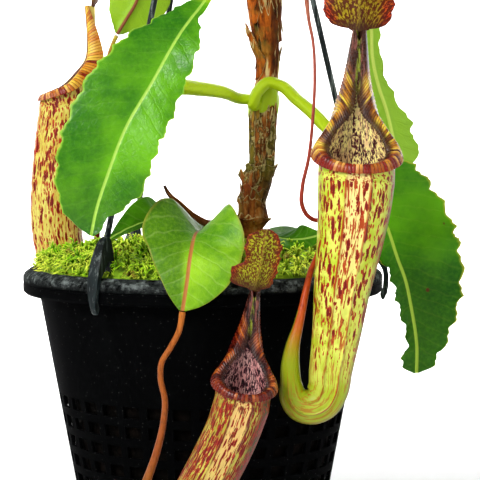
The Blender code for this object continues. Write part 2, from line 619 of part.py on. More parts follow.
def leaves(upper, under, dry):
    """Every leaf, each from its foot on the stem to its tip."""
    leaf("leaf_large_left", upper,
         [*on_stem(312, -104), (14, -40, 307), (3, -68, 285), (-9, -82, 268), (-23, -90, 243), (-34, -93, 224),
          (-43, -95, 201), (-49, -96, 182), (-51, -96, 172)],
         [(0, 0.2, 1), (0, 0.1, 1), (-0.3, -0.4, 1), (-0.2, -1, 0.4), (-0.1, -1, 0.3), (0, -1, 0.2), (0, -1, 0.1),
          (0, -1, 0), (0, -1, 0), (0, -1, 0)],
         [(0, 3.5, 2.8), (0.1, 10, 4), (0.14, 13, 8), (0.19, 16, 12.5), (0.29, 23, 15.5), (0.41, 27, 16.8),
          (0.5, 29.3, 19), (0.68, 28.5, 20), (0.78, 26.5, 20), (0.87, 22.5, 14), (0.94, 15.5, 6.8), (0.98, 7, 4),
          (1, 1.2, 1.2)],
         petiole=0.36, fold=(14, 8), curl=1.5, wave=1.6, waves=2.5, teeth=12, tooth_depth=2.4, stations=40)
    leaf("leaf_back_left", under,
         [*on_stem(331, 165), (8, 3, 350), (-8, 3, 358), (-20, 3, 347), (-28, 4, 325), (-33, 5, 300), (-35, 5, 291),
          (-41, 5, 280.5), (-45.6, 5, 273)],
         [(0, 0, 1), (0, 0.1, 1), (-0.2, 0.3, 1), (0, 0.5, 1), (-0.8, 0.9, 0.5), (-0.5, 1, 0.2), (-0.3, 1, 0.1),
          (-0.2, 1, 0.1), (-0.2, 1, 0.1), (-0.2, 1, 0.1)],
         [(0, 3, 3), (0.12, 7, 7), (0.3, 16, 16), (0.5, 20, 20), (0.74, 18.5, 18.5), (0.89, 11, 11), (0.96, 5, 5),
          (1, 1.2, 1.2)],
         petiole=0.42, fold=(14, 8), wave=1.5, teeth=6, tooth_depth=1.5, stations=26)
    leaf("leaf_low_left", upper,
         [*on_stem(239, 190), (12, -10, 242), (-1, -18, 244), (-11, -24, 245), (-26, -32, 240), (-41, -40, 226),
          (-52, -44, 206), (-56, -45, 192)],
         [(0, -0.6, 1), (0, -0.9, 0.8), (0, -1, 0.6), (0, -1, 0.7), (-0.1, -0.9, 0.9), (-0.4, -0.8, 0.9),
          (-0.7, -0.8, 0.6), (-0.6, -0.8, 0.3), (-0.6, -0.8, 0.2)],
         [(0, 4, 4), (0.15, 8, 8), (0.35, 13, 13), (0.6, 14.5, 14.5), (0.8, 11, 11), (0.92, 6, 6), (1, 1.2, 1.2)],
         petiole=0.4, petiole_width=(3.1, 4.8), fold=(20, 10), wave=1.2, teeth=6, tooth_depth=1.2, stations=24)
    leaf("leaf_hanging_right", under,
         [*on_stem(330, 30), (48, 10, 336), (62, 15, 338), (76, 17, 328), (84, 17.5, 310), (88.5, 17, 292),
          (90, 16, 280), (91, 16, 260), (94, 16, 246.5), (98.5, 16, 233), (102.5, 16, 217), (105.5, 15, 206),
          (108, 14, 196)],
         [(0, 0, 1), (-0.1, 0.1, 1), (-0.2, 0.3, 1), (0.1, 0.5, 1), (0.7, 0.8, 0.6), (0.8, 1, 0.3), (0.5, 1, 0.1),
          (0.3, 1, 0), (0.2, 1, 0), (0.2, 1, 0), (0.2, 1, 0), (0.2, 1, 0), (0.2, 1, 0), (0.2, 1, 0)],
         [(0, 3, 3), (0.16, 4, 4), (0.26, 4.6, 5), (0.43, 5.6, 6), (0.55, 6.2, 7), (0.64, 8, 8), (0.72, 11.5, 9),
          (0.82, 14, 9), (0.91, 12, 8), (0.97, 6, 4), (1, 1.2, 1.2)],
         petiole=0.36, fold=(10, 6), wave=0.8, teeth=7, tooth_depth=3.2, stations=32)
    leaf("leaf_low_right", upper,
         [*on_stem(236, -122), (29, -12.2, 243.5), (34, -12, 247.5), (41, -12.5, 246), (49, -18, 239),
          (57, -22, 232), (64, -25, 224), (74, -28, 211), (85, -30, 192), (95, -32, 172), (100, -34, 157),
          (104, -35, 146), (107, -36, 132), (110, -36, 112), (110, -36, 98)],
         [(-0.4, -0.2, 1), (-0.6, -0.3, 0.8), (-0.8, -0.6, 0.6), (-0.2, -0.6, 1), (0.2, -0.6, 1), (0.4, -0.5, 1),
          (0.4, -0.6, 0.9), (0.4, -0.8, 0.6), (0.3, -1, 0.4), (0.2, -1, 0.3), (0.1, -1, 0.2), (0, -1, 0.1),
          (0, -1, 0), (0, -1, 0), (0, -1, 0), (0, -1, -0.2)],
         [(0, 4, 4), (0.1, 8, 14.5), (0.18, 13, 24.5), (0.255, 15, 31), (0.35, 15, 33.5), (0.425, 13, 34.5),
          (0.5, 10.5, 34.5), (0.57, 8.5, 34), (0.63, 8.5, 32), (0.735, 8, 27.5), (0.82, 6, 21.5), (0.885, 6, 16.5),
          (0.93, 9, 13), (0.97, 8.5, 9.5), (1, 1.5, 2)],
         petiole=0.36, petiole_width=(3.3, 3.8), fold=(12, 8), curl=1.5, wave=1.8, waves=3, teeth=12, tooth_depth=3.6,
         stations=46)
    leaf("leaf_crown_front", upper,
         [*on_stem(334, -90), (37, -20, 350), (44, -38, 354), (50, -54, 337), (53, -63, 310), (52, -68, 286)],
         [(0, 0, 1), (0, 0, 1), (0, 0, 1), (0.1, -0.4, 1), (0.1, -1, 0.5), (0, -1, 0.2), (0, -1, 0.1)],
         [(0, 3, 3), (0.15, 8, 8), (0.35, 12.5, 12.5), (0.6, 12.5, 12.5), (0.82, 8.5, 8.5), (0.94, 4, 4),
          (1, 1.2, 1.2)],
         petiole=0.25, fold=(18, 10), wave=1.0, teeth=6, tooth_depth=1.2, stations=24)
    leaf("leaf_crown_young", upper,
         [(31, 0, 346.5), (33, 3, 362), (37, 8, 380), (43, 14, 398)],
         [(0.4, 1, 0.2), (0.4, 1, 0.2), (0.5, 1, -0.1), (0.6, 1, -0.3)],
         [(0, 2.4, 2.4), (0.2, 5.5, 5.5), (0.5, 8, 8), (0.8, 5.5, 5.5), (1, 1, 1)],
         fold=(35, 20), stations=12, across=(-1, 0, 1))
    leaf("leaf_front_folded", upper,
         [*on_stem(164, -103), (12, -32, 167), (3, -60, 169.5), (-2, -84, 171), (-4, -98, 162), (-5.5, -102.5, 150),
          (-7.5, -104, 137)],
         [(0, 0, 1), (0, 0, 1), (0, 0, 1), (0, 0, 1), (0, -0.7, 1), (0, -1, 0.3), (0, -1, 0.1), (0, -1, 0)],
         [(0, 3.5, 3.5), (0.14, 7, 9), (0.26, 12, 16), (0.36, 18, 20), (0.46, 24.5, 24), (0.55, 25.5, 25.5),
          (0.66, 20.5, 24.5), (0.8, 14, 20.5), (0.9, 9, 14), (0.965, 4.5, 7.5), (1, 1.5, 1.5)],
         petiole=0.36, petiole_width=(2.6, 2.6), fold=(60, 58, 48, 8, 0, 0), wave=0.8, waves=2, stations=30)
    leaf("leaf_basal_left", upper,
         [*on_stem(166.5, 199), (-1, -22, 171), (-18, -36, 174), (-27, -42, 175.5), (-36, -46, 172.5),
          (-46, -50, 167)],
         [(0, 0, 1), (0, 0, 1), (0, -0.2, 1), (0, -0.4, 1), (0, -0.6, 1), (-0.2, -0.7, 1), (-0.4, -0.7, 0.8)],
         [(0, 2.5, 2.5), (0.15, 8, 8), (0.3, 15, 11), (0.45, 17, 11.5), (0.6, 13, 9), (0.8, 7, 6), (1, 1, 1)],
         petiole=0.42, petiole_width=(2.2, 2.2), fold=(30, 20), stations=20, across=(-1, 0, 1))
    leaf("leaf_basal_right", upper,
         [*on_stem(165, -52), (38, -18, 166), (46, -27, 165.5), (54, -32, 166.5), (62, -34, 169)],
         [(0, 0, 1), (0, 0, 1), (0, -0.2, 1), (-0.1, -0.7, 1), (-0.1, -1, 0.8), (-0.1, -1, 0.6)],
         [(0, 3, 3), (0.25, 8, 8), (0.55, 10, 10), (0.8, 7, 7), (1, 1, 1)],
         petiole=0.15, petiole_width=(2.2, 2.2), fold=(20, 10), stations=16, across=(-1, 0, 1))
    leaf("leaf_basal_back", upper,
         [*on_stem(165, 55), (38, 16, 165), (46, 26, 165), (56, 34, 164), (66, 40, 162)],
         [(0, 0, 1), (0, 0, 1), (0, -0.2, 1), (0, -0.4, 1), (0, -0.4, 1), (0, -0.4, 1)],
         [(0, 3, 3), (0.25, 8, 8), (0.55, 9, 9), (0.8, 6, 6), (1, 1, 1)],
         petiole=0.15, petiole_width=(2.2, 2.2), fold=(20, 10), stations=14, across=(-1, 0, 1))
    leaf("leaf_dry", dry,
         [*on_stem(171, -142, 2.5), (10, -22, 172.5), (1, -36, 173.5), (-5, -43, 177.5), (-11.6, -48, 185),
          (-16.5, -51, 190.5), (-18.1, -52, 194.5)],
         [(0, 0, 1), (0, 0, 1), (0.1, -0.5, 1), (0.4, -0.7, 0.8), (0.6, -0.7, 0.6), (0.7, -0.7, 0.5),
          (0.8, -0.6, 0.5), (0.8, -0.6, 0.5)],
         [(0, 2, 2), (0.3, 3.4, 3.4), (0.6, 3.6, 3.6), (0.85, 1.9, 1.9), (1, 0.6, 0.6)],
         fold=(50, 60), stations=12, rib=1.0, across=(-1, 0, 1))


PITCHERS = {
    "main": dict(origin=(75, -92, 203), up=(0.03, 0.0, 1.0), facing=(0, -1, 0), scale=1.0),
    "left": dict(origin=(-79.5, 75, 239), up=(0.05, 0.0, 1.0), facing=(-1, -0.2, 0), scale=0.82),
    "front": dict(origin=(21, -116, 99), up=(0.13, 0.0, 1.0), facing=(0.05, -1, 0), scale=0.72),
}
# From the leaf's tip down the tendril, round the bend and up the tube: x, y, z and radius.
ROUTES = {
    "main": [(52, -68.1, 285.5, 1.2), (53, -68.6, 276, 0.9), (55, -69, 266, 0.8), (56, -70, 246, 0.8),
             (55, -71, 227, 0.8), (53, -71.5, 208, 0.9), (50, -72, 194, 1.0), (49.8, -71.5, 186, 1.1),
             (52.5, -70.5, 180.5, 1.1), (57, -69, 178, 1.1), (61.5, -69.5, 179.8, 1.1), (63.2, -72, 183.2, 1.1),
             (61.8, -75, 185.6, 1.1), (60.3, -76.5, 181, 1.1), (59.5, -77, 172, 1.2), (57.5, -80, 163, 1.3),
             (53.5, -87, 154, 1.5), (51, -92.5, 145, 1.7), (49, -95, 136, 2.0), (47, -95.5, 128, 2.5),
             (44.6, -96, 119, 3.5),
             (43.6, -96, 110.3, 4.5), (44.0, -96, 100.7, 5.4), (45.0, -96, 95.5, 6.8), (48.4, -96, 91.6, 8.2),
             (53.7, -96, 90.6, 8.9), (58.8, -96, 93.2, 9.4), (61.6, -96, 98.5, 9.8), (62.9, -96, 107.9, 10.4),
             (65.8, -96, 127.1, 11.8), (68.5, -95, 148.5, 13.7), (72, -93.5, 170, 15.9), (74, -92.3, 186, 17.6)],
    "left": [(-46, 5.2, 271.9, 1.2), (-50, 12, 264, 1.0), (-54, 30, 243, 1.0), (-58, 50, 215, 1.2),
             (-61, 68, 182, 1.5), (-63, 77, 158, 1.8), (-63.5, 78, 140, 2.1), (-62.5, 78, 124, 2.6),
             (-62.5, 77.6, 112, 3.2), (-64.5, 77.4, 104, 4.2), (-70, 77.2, 101, 5.6), (-75, 77, 106, 7.8),
             (-78, 76.5, 116, 10.0), (-80.5, 76, 130, 12.0), (-83, 75.5, 148, 13.4), (-85.5, 75, 168, 14.2),
             (-85, 75, 190, 14.6), (-83, 75, 214, 14.4)],
    "front": [(-7.5, -104.1, 136.5, 1.5), (-9, -104.5, 128, 1.4), (-13, -104, 120, 1.4), (-17.5, -103, 112, 1.4),
              (-18, -102, 105, 1.4), (-16, -101, 94, 1.5), (-17, -100.5, 82, 1.6), (-19.5, -100.5, 71, 1.8),
              (-25, -101.5, 55, 2.2), (-31, -103, 40, 2.7), (-35, -106, 26, 3.6), (-34, -109, 14, 4.8),
              (-28, -111.5, 8.5, 6.0), (-21, -113, 12, 7.6), (-15, -114, 22, 9.6), (-8, -115, 36, 11.6),
              (1, -115.5, 52, 12.6), (10, -116, 69, 12.8), (16.5, -116, 83, 12.8)],
}
FIRST_OF_PITCHER = {"main": 18, "left": 7, "front": 9}  # where in its route the green tube begins
# Each lid's route above its foot on the neck, and its size.
LIDS = {
    "main": ([(77, -76.5, 281), (77.4, -76, 293), (78, -75, 308)], 1.0),
    "left": ([(-70, 77, 302), (-77, 77, 310), (-86, 76, 317)], 0.8),
    "front": ([(28.6, -106.2, 156), (30.3, -108.3, 165.5), (32, -110, 176)], 0.7),
}


def main():
    for leftover in list(bpy.data.objects):
        bpy.data.objects.remove(leftover)
    black = material("black_plastic", (0.012, 0.013, 0.014), 0.42)
    strands = material("slate_plastic", (0.05, 0.065, 0.07), 0.4)
    soil = material("bark_mix", (0.045, 0.03, 0.018), 0.95)
    moss_green = material("sphagnum", (0.42, 0.68, 0.03), 0.9)
    bark = material("bark", (0.2, 0.09, 0.03), 0.85)
    upper = material("leaf_green", (0.09, 0.33, 0.02), 0.38)
    under = material("leaf_underside", (0.26, 0.45, 0.05), 0.5)
    dry = material("dead_leaf", (0.2, 0.08, 0.03), 0.8)
    tendril = material("tendril_red", (0.35, 0.09, 0.04), 0.45)
    wall = material("pitcher_wall", (0.5, 0.6, 0.12), 0.45)
    lip = material("lip_red", (0.35, 0.07, 0.02), 0.25)
    cap = material("lid_mottled", (0.35, 0.2, 0.05), 0.5)

    pot(black)
    potting_mix(soil)
    moss(moss_green)
    for tag, direction in STRAND_DIRECTIONS.items():
        strand(tag, direction, strands)
    hanger_hook(strands)
    stem(bark)
    leaves(upper, under, dry)
    stations = {"main": (38, 18), "left": (18, 14), "front": (20, 14)}
    for tag, place in PITCHERS.items():
        route, first = ROUTES[tag], FIRST_OF_PITCHER[tag]
        along_tendril, along_tube = stations[tag]
        end = split([*route, place["origin"] + (0,)], first)[0]
        tube("tendril_" + tag, [*route, (*place["origin"], 1.0)], np.linspace(0, end, along_tendril), 6, tendril)
        pitcher("pitcher_" + tag, wall, route, first=first, stations=along_tube, **place)
        peristome("peristome_" + tag, lip, ribs=LIP_RIBS[tag], **place)
        above, size = LIDS[tag]
        widths = LOBED_LID_WIDTHS if tag == "front" else LID_WIDTHS
        lid("lid_" + tag, cap, above, size=size, widths=widths, **place)


main()
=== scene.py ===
"""The looks of a potted pitcher plant in a hanging pot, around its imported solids.

Every piece follows the form of the solid that it replaces, at a finer step and with its own surface.
Routes and outlines are in millimetres and brought to metres by MM. The front of the plant faces -Y.
"""

import math
import random

import bpy
import numpy as np
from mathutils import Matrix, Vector, noise


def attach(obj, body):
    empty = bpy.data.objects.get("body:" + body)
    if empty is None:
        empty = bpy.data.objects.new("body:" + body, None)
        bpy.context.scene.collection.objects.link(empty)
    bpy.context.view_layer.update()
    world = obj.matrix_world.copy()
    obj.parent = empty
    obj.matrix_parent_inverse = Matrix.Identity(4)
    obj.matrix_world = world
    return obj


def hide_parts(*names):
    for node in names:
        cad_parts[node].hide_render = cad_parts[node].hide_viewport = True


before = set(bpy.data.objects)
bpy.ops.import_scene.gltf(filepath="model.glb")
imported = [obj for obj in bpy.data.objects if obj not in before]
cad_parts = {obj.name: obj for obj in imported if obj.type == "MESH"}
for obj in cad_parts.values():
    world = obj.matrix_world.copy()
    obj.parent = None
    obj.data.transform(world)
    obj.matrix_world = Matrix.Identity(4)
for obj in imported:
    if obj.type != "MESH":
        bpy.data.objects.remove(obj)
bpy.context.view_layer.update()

MM = 0.001
CLEAR = 0.3  # gap kept between pieces that touch
SEAT_GAP = 0.45  # the same, where a flat foot meets a round stem

# Pot
POT_HEIGHT = 150.0
POT_BASE_RADIUS = 61.0
POT_FLARE = 0.186
POT_WALL = 1.8
POT_FLOOR = 3.0
RIM_RADIUS = 95.0
RIM_DROP = 12.7
RIM_INSIDE = 88.5
RIM_OUTLINE = [  # how far inside the rim's radius, and how far below its top
    (1.2, RIM_DROP), (0, RIM_DROP - 1.2), (0, RIM_DROP - 5.0), (0.5, RIM_DROP - 5.6), (0, RIM_DROP - 6.2),
    (0, 4.0), (0.8, 2.4), (3.6, 0.4), (4.4, 0),
    (RIM_RADIUS - RIM_INSIDE, 0), (RIM_RADIUS - RIM_INSIDE + 0.4, 0.4),
]
SLOT_COLUMNS = 36
SLOT_ROWS = 6
SLOT_TOP = 85.3
SLOT_PITCH = 10.3
SLOT_HEIGHT = 5.8

# Hanger
STRAND_RADIUS = 1.5
STRAND_FOOT = (87.5, 164.0)  # distance from the pot's axis, and height
STRAND_SPREAD = 2.6  # distance between a strand's upper end and the collar's middle
STRAND_DIRECTIONS = {"front_left": -122.0, "back_left": 118.0, "right": -2.0}  # degrees from +X
APEX = (13.0, 0.0, 478.0)
CLIP_WIDTH = 6.0
HOOK_RADIUS = 13.0
HOOK_WIRE = 3.0
COLLAR_BOTTOM = -6.0
CLIP_OUTLINE = [  # distance from the pot's axis, and height
    (84.0, 153.0), (86.6, 152.6), (87.4, 158.5), (91.5, 154.5), (95.6, 147.5), (95.5, 139.0), (94.0, 135.0),
    (95.6, 132.6), (98.0, 137.5), (98.2, 147.5), (95.5, 158.0), (90.5, 168.0), (85.6, 170.0), (83.6, 163.0),
]

# Moss
MIX_TOP = 140.0
MOSS_EDGE = 151.0
MOSS_TOP = 161.0
MOSS_RADIUS = 87.4
SHOOTS = 600
EDGE_SHOOTS = 210
LEAVES_OF_SHOOT = 15
OUTER_LEAVES = 9  # the rest of a shoot's leaves stand up in its middle
STEM_FOOT = (25.0, 0.0, 120.0)
STEM_FOOT_RADIUS = 6.0

# Stem
STEM = [  # x, y, z and radius
    (25, 0, 120, 6.0), (25, 0, 150, 5.6), (25.4, 0, 163, 5.0), (25.9, 0, 170, 5.4), (26.2, 0, 175, 7.9),
    (26.3, 0, 179, 7.3), (26.6, 0, 185, 6.7), (28.1, 0, 191, 7.2), (30, 0, 199, 7.5), (31.2, 0, 205, 6.8),
    (31.3, 0, 217, 6.9), (31.6, 0, 230, 7.0), (32.4, 0, 240, 6.6), (33.9, 0, 250, 5.7), (34.7, 0, 260, 5.7),
    (33.8, 0, 268, 6.5), (33.2, 0, 276, 7.6), (32.3, 0, 284, 8.2), (31.8, 0, 292, 8.3), (31.4, 0, 303, 7.1),
    (31, 0, 313, 6.2), (31, 0, 336, 5.0), (31, 0, 346, 2.2),
]
OLD_BASES = [  # foot, height, first direction, width in degrees, lift at the top
    (169, 7, 120, 330, 2.2), (166, 11, -150, 120, 1.6), (176, 10, 170, 150, 1.8), (184, 9, -220, 200, 1.6),
    (190, 11, -260, 130, 3.4), (198, 6, -190, 300, 1.4), (204, 28, -165, 85, 0.9), (206, 27, -75, 70, 0.8),
    (214, 19, 10, 130, 1.2), (249, 18, -200, 100, 2.2), (258, 17, -190, 60, 3.0), (262, 26, -120, 90, 0.9),
    (270, 20, -40, 80, 1.0), (286, 14, -230, 150, 1.8), (296, 18, -60, 140, 1.6), (308, 12, 60, 160, 1.4),
]
PEELING_STRIPS = 46
CLASP_FROM = 140  # degrees from +X
CLASP_SPAN = 280

# Leaves
VEIN_PITCH = 7.0
HALF_SPAN = [0.0, 0.02, 0.05, 0.1, 0.17, 0.26, 0.36, 0.46, 0.56, 0.66, 0.75, 0.83, 0.9, 0.95, 0.98, 1.0]
ACROSS = np.array([*(-v for v in HALF_SPAN[:0:-1]), *HALF_SPAN])

# Pitchers
WALL = 1.3
TUBE_TOP_RADIUS = 18.3
WING_RISE = 1.0
WING_ANGLE = 18.0  # degrees from the pitcher's front
MOUTH_EDGE = [  # one side, from the front to the neck's top: right, back and up
    (0.0, -18.0, 0.0), (5.5, -17.2, 0.3), (10.5, -14.7, 1.3), (14.8, -10.4, 3.3), (17.4, -4.5, 6.2),
    (17.4, 2.0, 10.2), (13.3, 8.8, 17.5), (6.6, 15.6, 28.5), (3.6, 15.8, 43.0), (1.8, 12.0, 67.0),
]
NECK_SPINE = (0.0, 16.6, 67.0)
LID_FOOT = (0.0, 15.6, 67.0)
MOUTH_INSIDE_APEX = (0.0, 16.2, 31.0)
NECK_FROM = 7
COLLAR_FOOT = -6.0
LIP_HALF_WIDTHS = [2.3, 2.4, 2.7, 3.2, 3.9, 4.2, 3.5, 4.7, 3.3, 1.5]
LIP_HALF_THICKNESS = [1.5, 1.5, 1.5, 1.5, 1.5, 1.5, 1.4, 1.3, 1.1, 0.8]
LIP_ROLL = [2.4, 2.4, 2.6, 2.9, 3.5, 4.6, 6.5, 9.0, 6.5, 1.2]
LIP_ROLL_FROM = 0.3
LIP_SECTION = [  # shares of the half width and of the half thickness
    (-1.0, 0.0), (-0.6, 0.8), (0.0, 1.0), (0.6, 0.9), (1.0, 0.3), (0.95, -0.6), (0.45, -1.0), (-0.6, -0.8),
]
LIP_LIFT = [0.0, 0.0, 0.0, 0.0, 0.1, 0.4, 1.0, 1.1, 0.9, 0.4]
LID_WIDTHS = [  # share of the length, and the half width on each side
    (0.0, 3, 3), (0.02, 8.5, 8.5), (0.06, 13, 13), (0.12, 15.8, 15.8), (0.2, 17.2, 17.2), (0.34, 18, 18),
    (0.5, 16.8, 16.8), (0.7, 13, 13), (0.86, 8.5, 8.5), (0.95, 5, 5), (1.0, 1.5, 1.5),
]
LOBED_LID_WIDTHS = [
    (0.0, 3, 3), (0.03, 12, 8), (0.09, 18.5, 11), (0.2, 19.5, 12.5), (0.32, 17, 13), (0.42, 11.5, 13),
    (0.56, 12.5, 13.3), (0.72, 13.5, 13.5), (0.86, 11.5, 11), (0.95, 7, 7), (1.0, 2, 2),
]
PITCHERS = {  # middle of the mouth, directions up the tube and to its front, and scale
    "main": ((75, -92, 203), (0.03, 0.0, 1.0), (0, -1, 0), 1.0),
    "left": ((-79.5, 75, 239), (0.05, 0.0, 1.0), (-1, -0.2, 0), 0.82),
    "front": ((21, -116, 99), (0.13, 0.0, 1.0), (0.05, -1, 0), 0.72),
}
# From the leaf's tip down the tendril, round the bend and up the tube: x, y, z and radius.
ROUTES = {
    "main": [(52, -68.1, 285.5, 1.2), (53, -68.6, 276, 0.9), (55, -69, 266, 0.8), (56, -70, 246, 0.8),
             (55, -71, 227, 0.8), (53, -71.5, 208, 0.9), (50, -72, 194, 1.0), (49.8, -71.5, 186, 1.1),
             (52.5, -70.5, 180.5, 1.1), (57, -69, 178, 1.1), (61.5, -69.5, 179.8, 1.1),
             (63.2, -72, 183.2, 1.1), (61.8, -75, 185.6, 1.1), (60.3, -76.5, 181, 1.1),
             (59.5, -77, 172, 1.2), (57.5, -80, 163, 1.3), (53.5, -87, 154, 1.5), (51, -92.5, 145, 1.7),
             (49, -95, 136, 2.0), (47, -95.5, 128, 2.5), (44.6, -96, 119, 3.5), (43.6, -96, 110.3, 4.5),
             (44.0, -96, 100.7, 5.4), (45.0, -96, 95.5, 6.8), (48.4, -96, 91.6, 8.2),
             (53.7, -96, 90.6, 8.9), (58.8, -96, 93.2, 9.4), (61.6, -96, 98.5, 9.8),
             (62.9, -96, 107.9, 10.4), (65.8, -96, 127.1, 11.8), (68.5, -95, 148.5, 13.7),
             (72, -93.5, 170, 15.9), (74, -92.3, 186, 17.6)],
    "left": [(-46, 5.2, 271.9, 1.2), (-50, 12, 264, 1.0), (-54, 30, 243, 1.0), (-58, 50, 215, 1.2),
             (-61, 68, 182, 1.5), (-63, 77, 158, 1.8), (-63.5, 78, 140, 2.1), (-62.5, 78, 124, 2.6),
             (-62.5, 77.6, 112, 3.2), (-64.5, 77.4, 104, 4.2), (-70, 77.2, 101, 5.6), (-75, 77, 106, 7.8),
             (-78, 76.5, 116, 10.0), (-80.5, 76, 130, 12.0), (-83, 75.5, 148, 13.4), (-85.5, 75, 168, 14.2),
             (-85, 75, 190, 14.6), (-83, 75, 214, 14.4)],
    "front": [(-7.5, -104.1, 136.5, 1.5), (-9, -104.5, 128, 1.4), (-13, -104, 120, 1.4),
              (-17.5, -103, 112, 1.4), (-18, -102, 105, 1.4), (-16, -101, 94, 1.5), (-17, -100.5, 82, 1.6),
              (-19.5, -100.5, 71, 1.8), (-25, -101.5, 55, 2.2), (-31, -103, 40, 2.7), (-35, -106, 26, 3.6),
              (-34, -109, 14, 4.8), (-28, -111.5, 8.5, 6.0), (-21, -113, 12, 7.6), (-15, -114, 22, 9.6),
              (-8, -115, 36, 11.6), (1, -115.5, 52, 12.6), (10, -116, 69, 12.8), (16.5, -116, 83, 12.8)],
}
FIRST_OF_PITCHER = {"main": 18, "left": 7, "front": 9}
LIDS = {  # points up the lid from its foot, and size
    "main": ([(77, -76.5, 281), (77.4, -76, 293), (78, -75, 308)], 1.0),
    "left": ([(-70, 77, 302), (-77, 77, 310), (-86, 76, 317)], 0.8),
    "front": ([(28.6, -106.2, 156), (30.3, -108.3, 165.5), (32, -110, 176)], 0.7),
}
LIP_RIBS = {"main": 118, "left": 96, "front": 88}
TENDRIL_INSIDE = 0.002  # how far a tendril runs on into its tube, as a share of the route


# Colours and materials


def srgb(red, green, blue):
    """A colour as a screen shows it, from 0 to 255, in the shader's own values."""
    shares = [value / 255 for value in (red, green, blue)]
    return tuple(share / 12.92 if share <= 0.04 else ((share + 0.055) / 1.055) ** 2.4 for share in shares)


MAROON = srgb(104, 8, 4)
SPOT_SPREAD = 0.34  # how much the pitchers' spots differ in size


def darker(colour, share):
    return tuple(value * share for value in colour)


def operation(kind):
    return lambda self, other=0.0: self.look.math(kind, self, other)


class Value:
    """A number, vector or colour in a material. Arithmetic with it adds the nodes that work it out."""

    def __init__(self, look, socket):
        self.look = look
        self.socket = socket

    __add__ = operation("ADD")
    __sub__ = operation("SUBTRACT")
    __mul__ = operation("MULTIPLY")
    __truediv__ = operation("DIVIDE")
    __pow__ = operation("POWER")
    __abs__ = operation("ABSOLUTE")
    floor = operation("FLOOR")
    fraction = operation("FRACT")
    greater = operation("MAXIMUM")

    def __rsub__(self, other):
        return self.look.math("SUBTRACT", other, self)

    def ramp(self, low, high):
        """From 0 at low to 1 at high, smoothly."""
        inputs = {"Value": self, "From Min": low, "From Max": high}
        return self.look.add("MapRange", inputs, interpolation_type="SMOOTHSTEP")["Result"]

    def toward(self, colour, share):
        return self.look.mix(share, self, colour)

    def under(self, *layers):
        """This colour with others over it, each a pair of colour and share."""
        result = self
        for colour, share in layers:
            result = result.toward(colour, share)
        return result

    def stretch(self, x, y, z):
        return self.look.add("VectorMath", {0: self, 1: (x, y, z)}, operation="MULTIPLY")["Vector"]

    def shift(self, value):
        return self.look.add("VectorMath", {0: self, 1: value})["Vector"]

    def parts(self):
        return list(self.look.add("SeparateXYZ", {0: self}).values())


class Look:
    """A procedural material. Each method adds a node and gives its result."""

    def __init__(self, name, roughness, shine=0.5):
        self.material = bpy.data.materials.new(name)
        self.material.use_nodes = True
        self.tree = self.material.node_tree
        self.shader = self.tree.nodes["Principled BSDF"].inputs
        self.shader["Roughness"].default_value = roughness
        self.shader["Specular IOR Level"].default_value = shine

    def feed(self, socket, value):
        if isinstance(value, Value):
            self.tree.links.new(value.socket, socket)
        elif socket.type == "RGBA":
            socket.default_value = (*value[:3], 1.0)
        else:
            socket.default_value = value

    def add(self, kind, inputs, **settings):
        """A new node's results, by name."""
        node = self.tree.nodes.new("ShaderNode" + kind)
        for key, value in settings.items():
            setattr(node, key, value)
        for key, value in inputs.items():
            self.feed(node.inputs[key], value)
        return {socket.name: Value(self, socket) for socket in node.outputs if socket.enabled}

    def math(self, kind, a, b):
        return self.add("Math", {0: a, 1: b}, operation=kind)["Value"]

    def mix(self, share, a, b):
        return self.add("Mix", {0: share, 6: a, 7: b}, data_type="RGBA")["Result"]

    def colours(self, value, *stops):
        """A colour from pairs of place and colour."""
        made = self.add("ValToRGB", {0: value})["Color"]
        band = made.socket.node.color_ramp.elements
        while len(band) < len(stops):
            band.new(0.5)
        for element, (place, colour) in zip(band, stops):
            element.position = place
            element.color = (*colour, 1.0)
        return made

    def place(self):
        """The point on the piece, in millimetres."""
        return self.add("TexCoord", {})["Object"].stretch(1000.0, 1000.0, 1000.0)

    def attribute(self, name):
        """The vector stored on the piece's points."""
        return self.add("Attribute", {}, attribute_name=name)["Vector"]

    def join(self, x, y, z=0.0):
        return self.add("CombineXYZ", {0: x, 1: y, 2: z})["Vector"]

    def noise(self, vector, scale, detail=3.0, roughness=0.55, distortion=0.0):
        names = ("Vector", "Scale", "Detail", "Roughness", "Distortion")
        inputs = dict(zip(names, (vector, scale, detail, roughness, distortion)))
        return self.add("TexNoise", inputs)["Fac"]

    def cells(self, vector, scale, feature="F1"):
        return self.add("TexVoronoi", {"Vector": vector, "Scale": scale}, feature=feature)

    def finish(self, colour, roughness=None, height=None, depth=0.2, strength=1.0):
        """Colour, roughness if it varies, and a bump whose full height is depth millimetres."""
        self.feed(self.shader["Base Color"], colour)
        if roughness is not None:
            self.feed(self.shader["Roughness"], roughness)
        if height is not None:
            bump = self.add("Bump", {"Height": height, "Distance": depth * MM, "Strength": strength})
            self.feed(self.shader["Normal"], bump["Normal"])
        return self.material


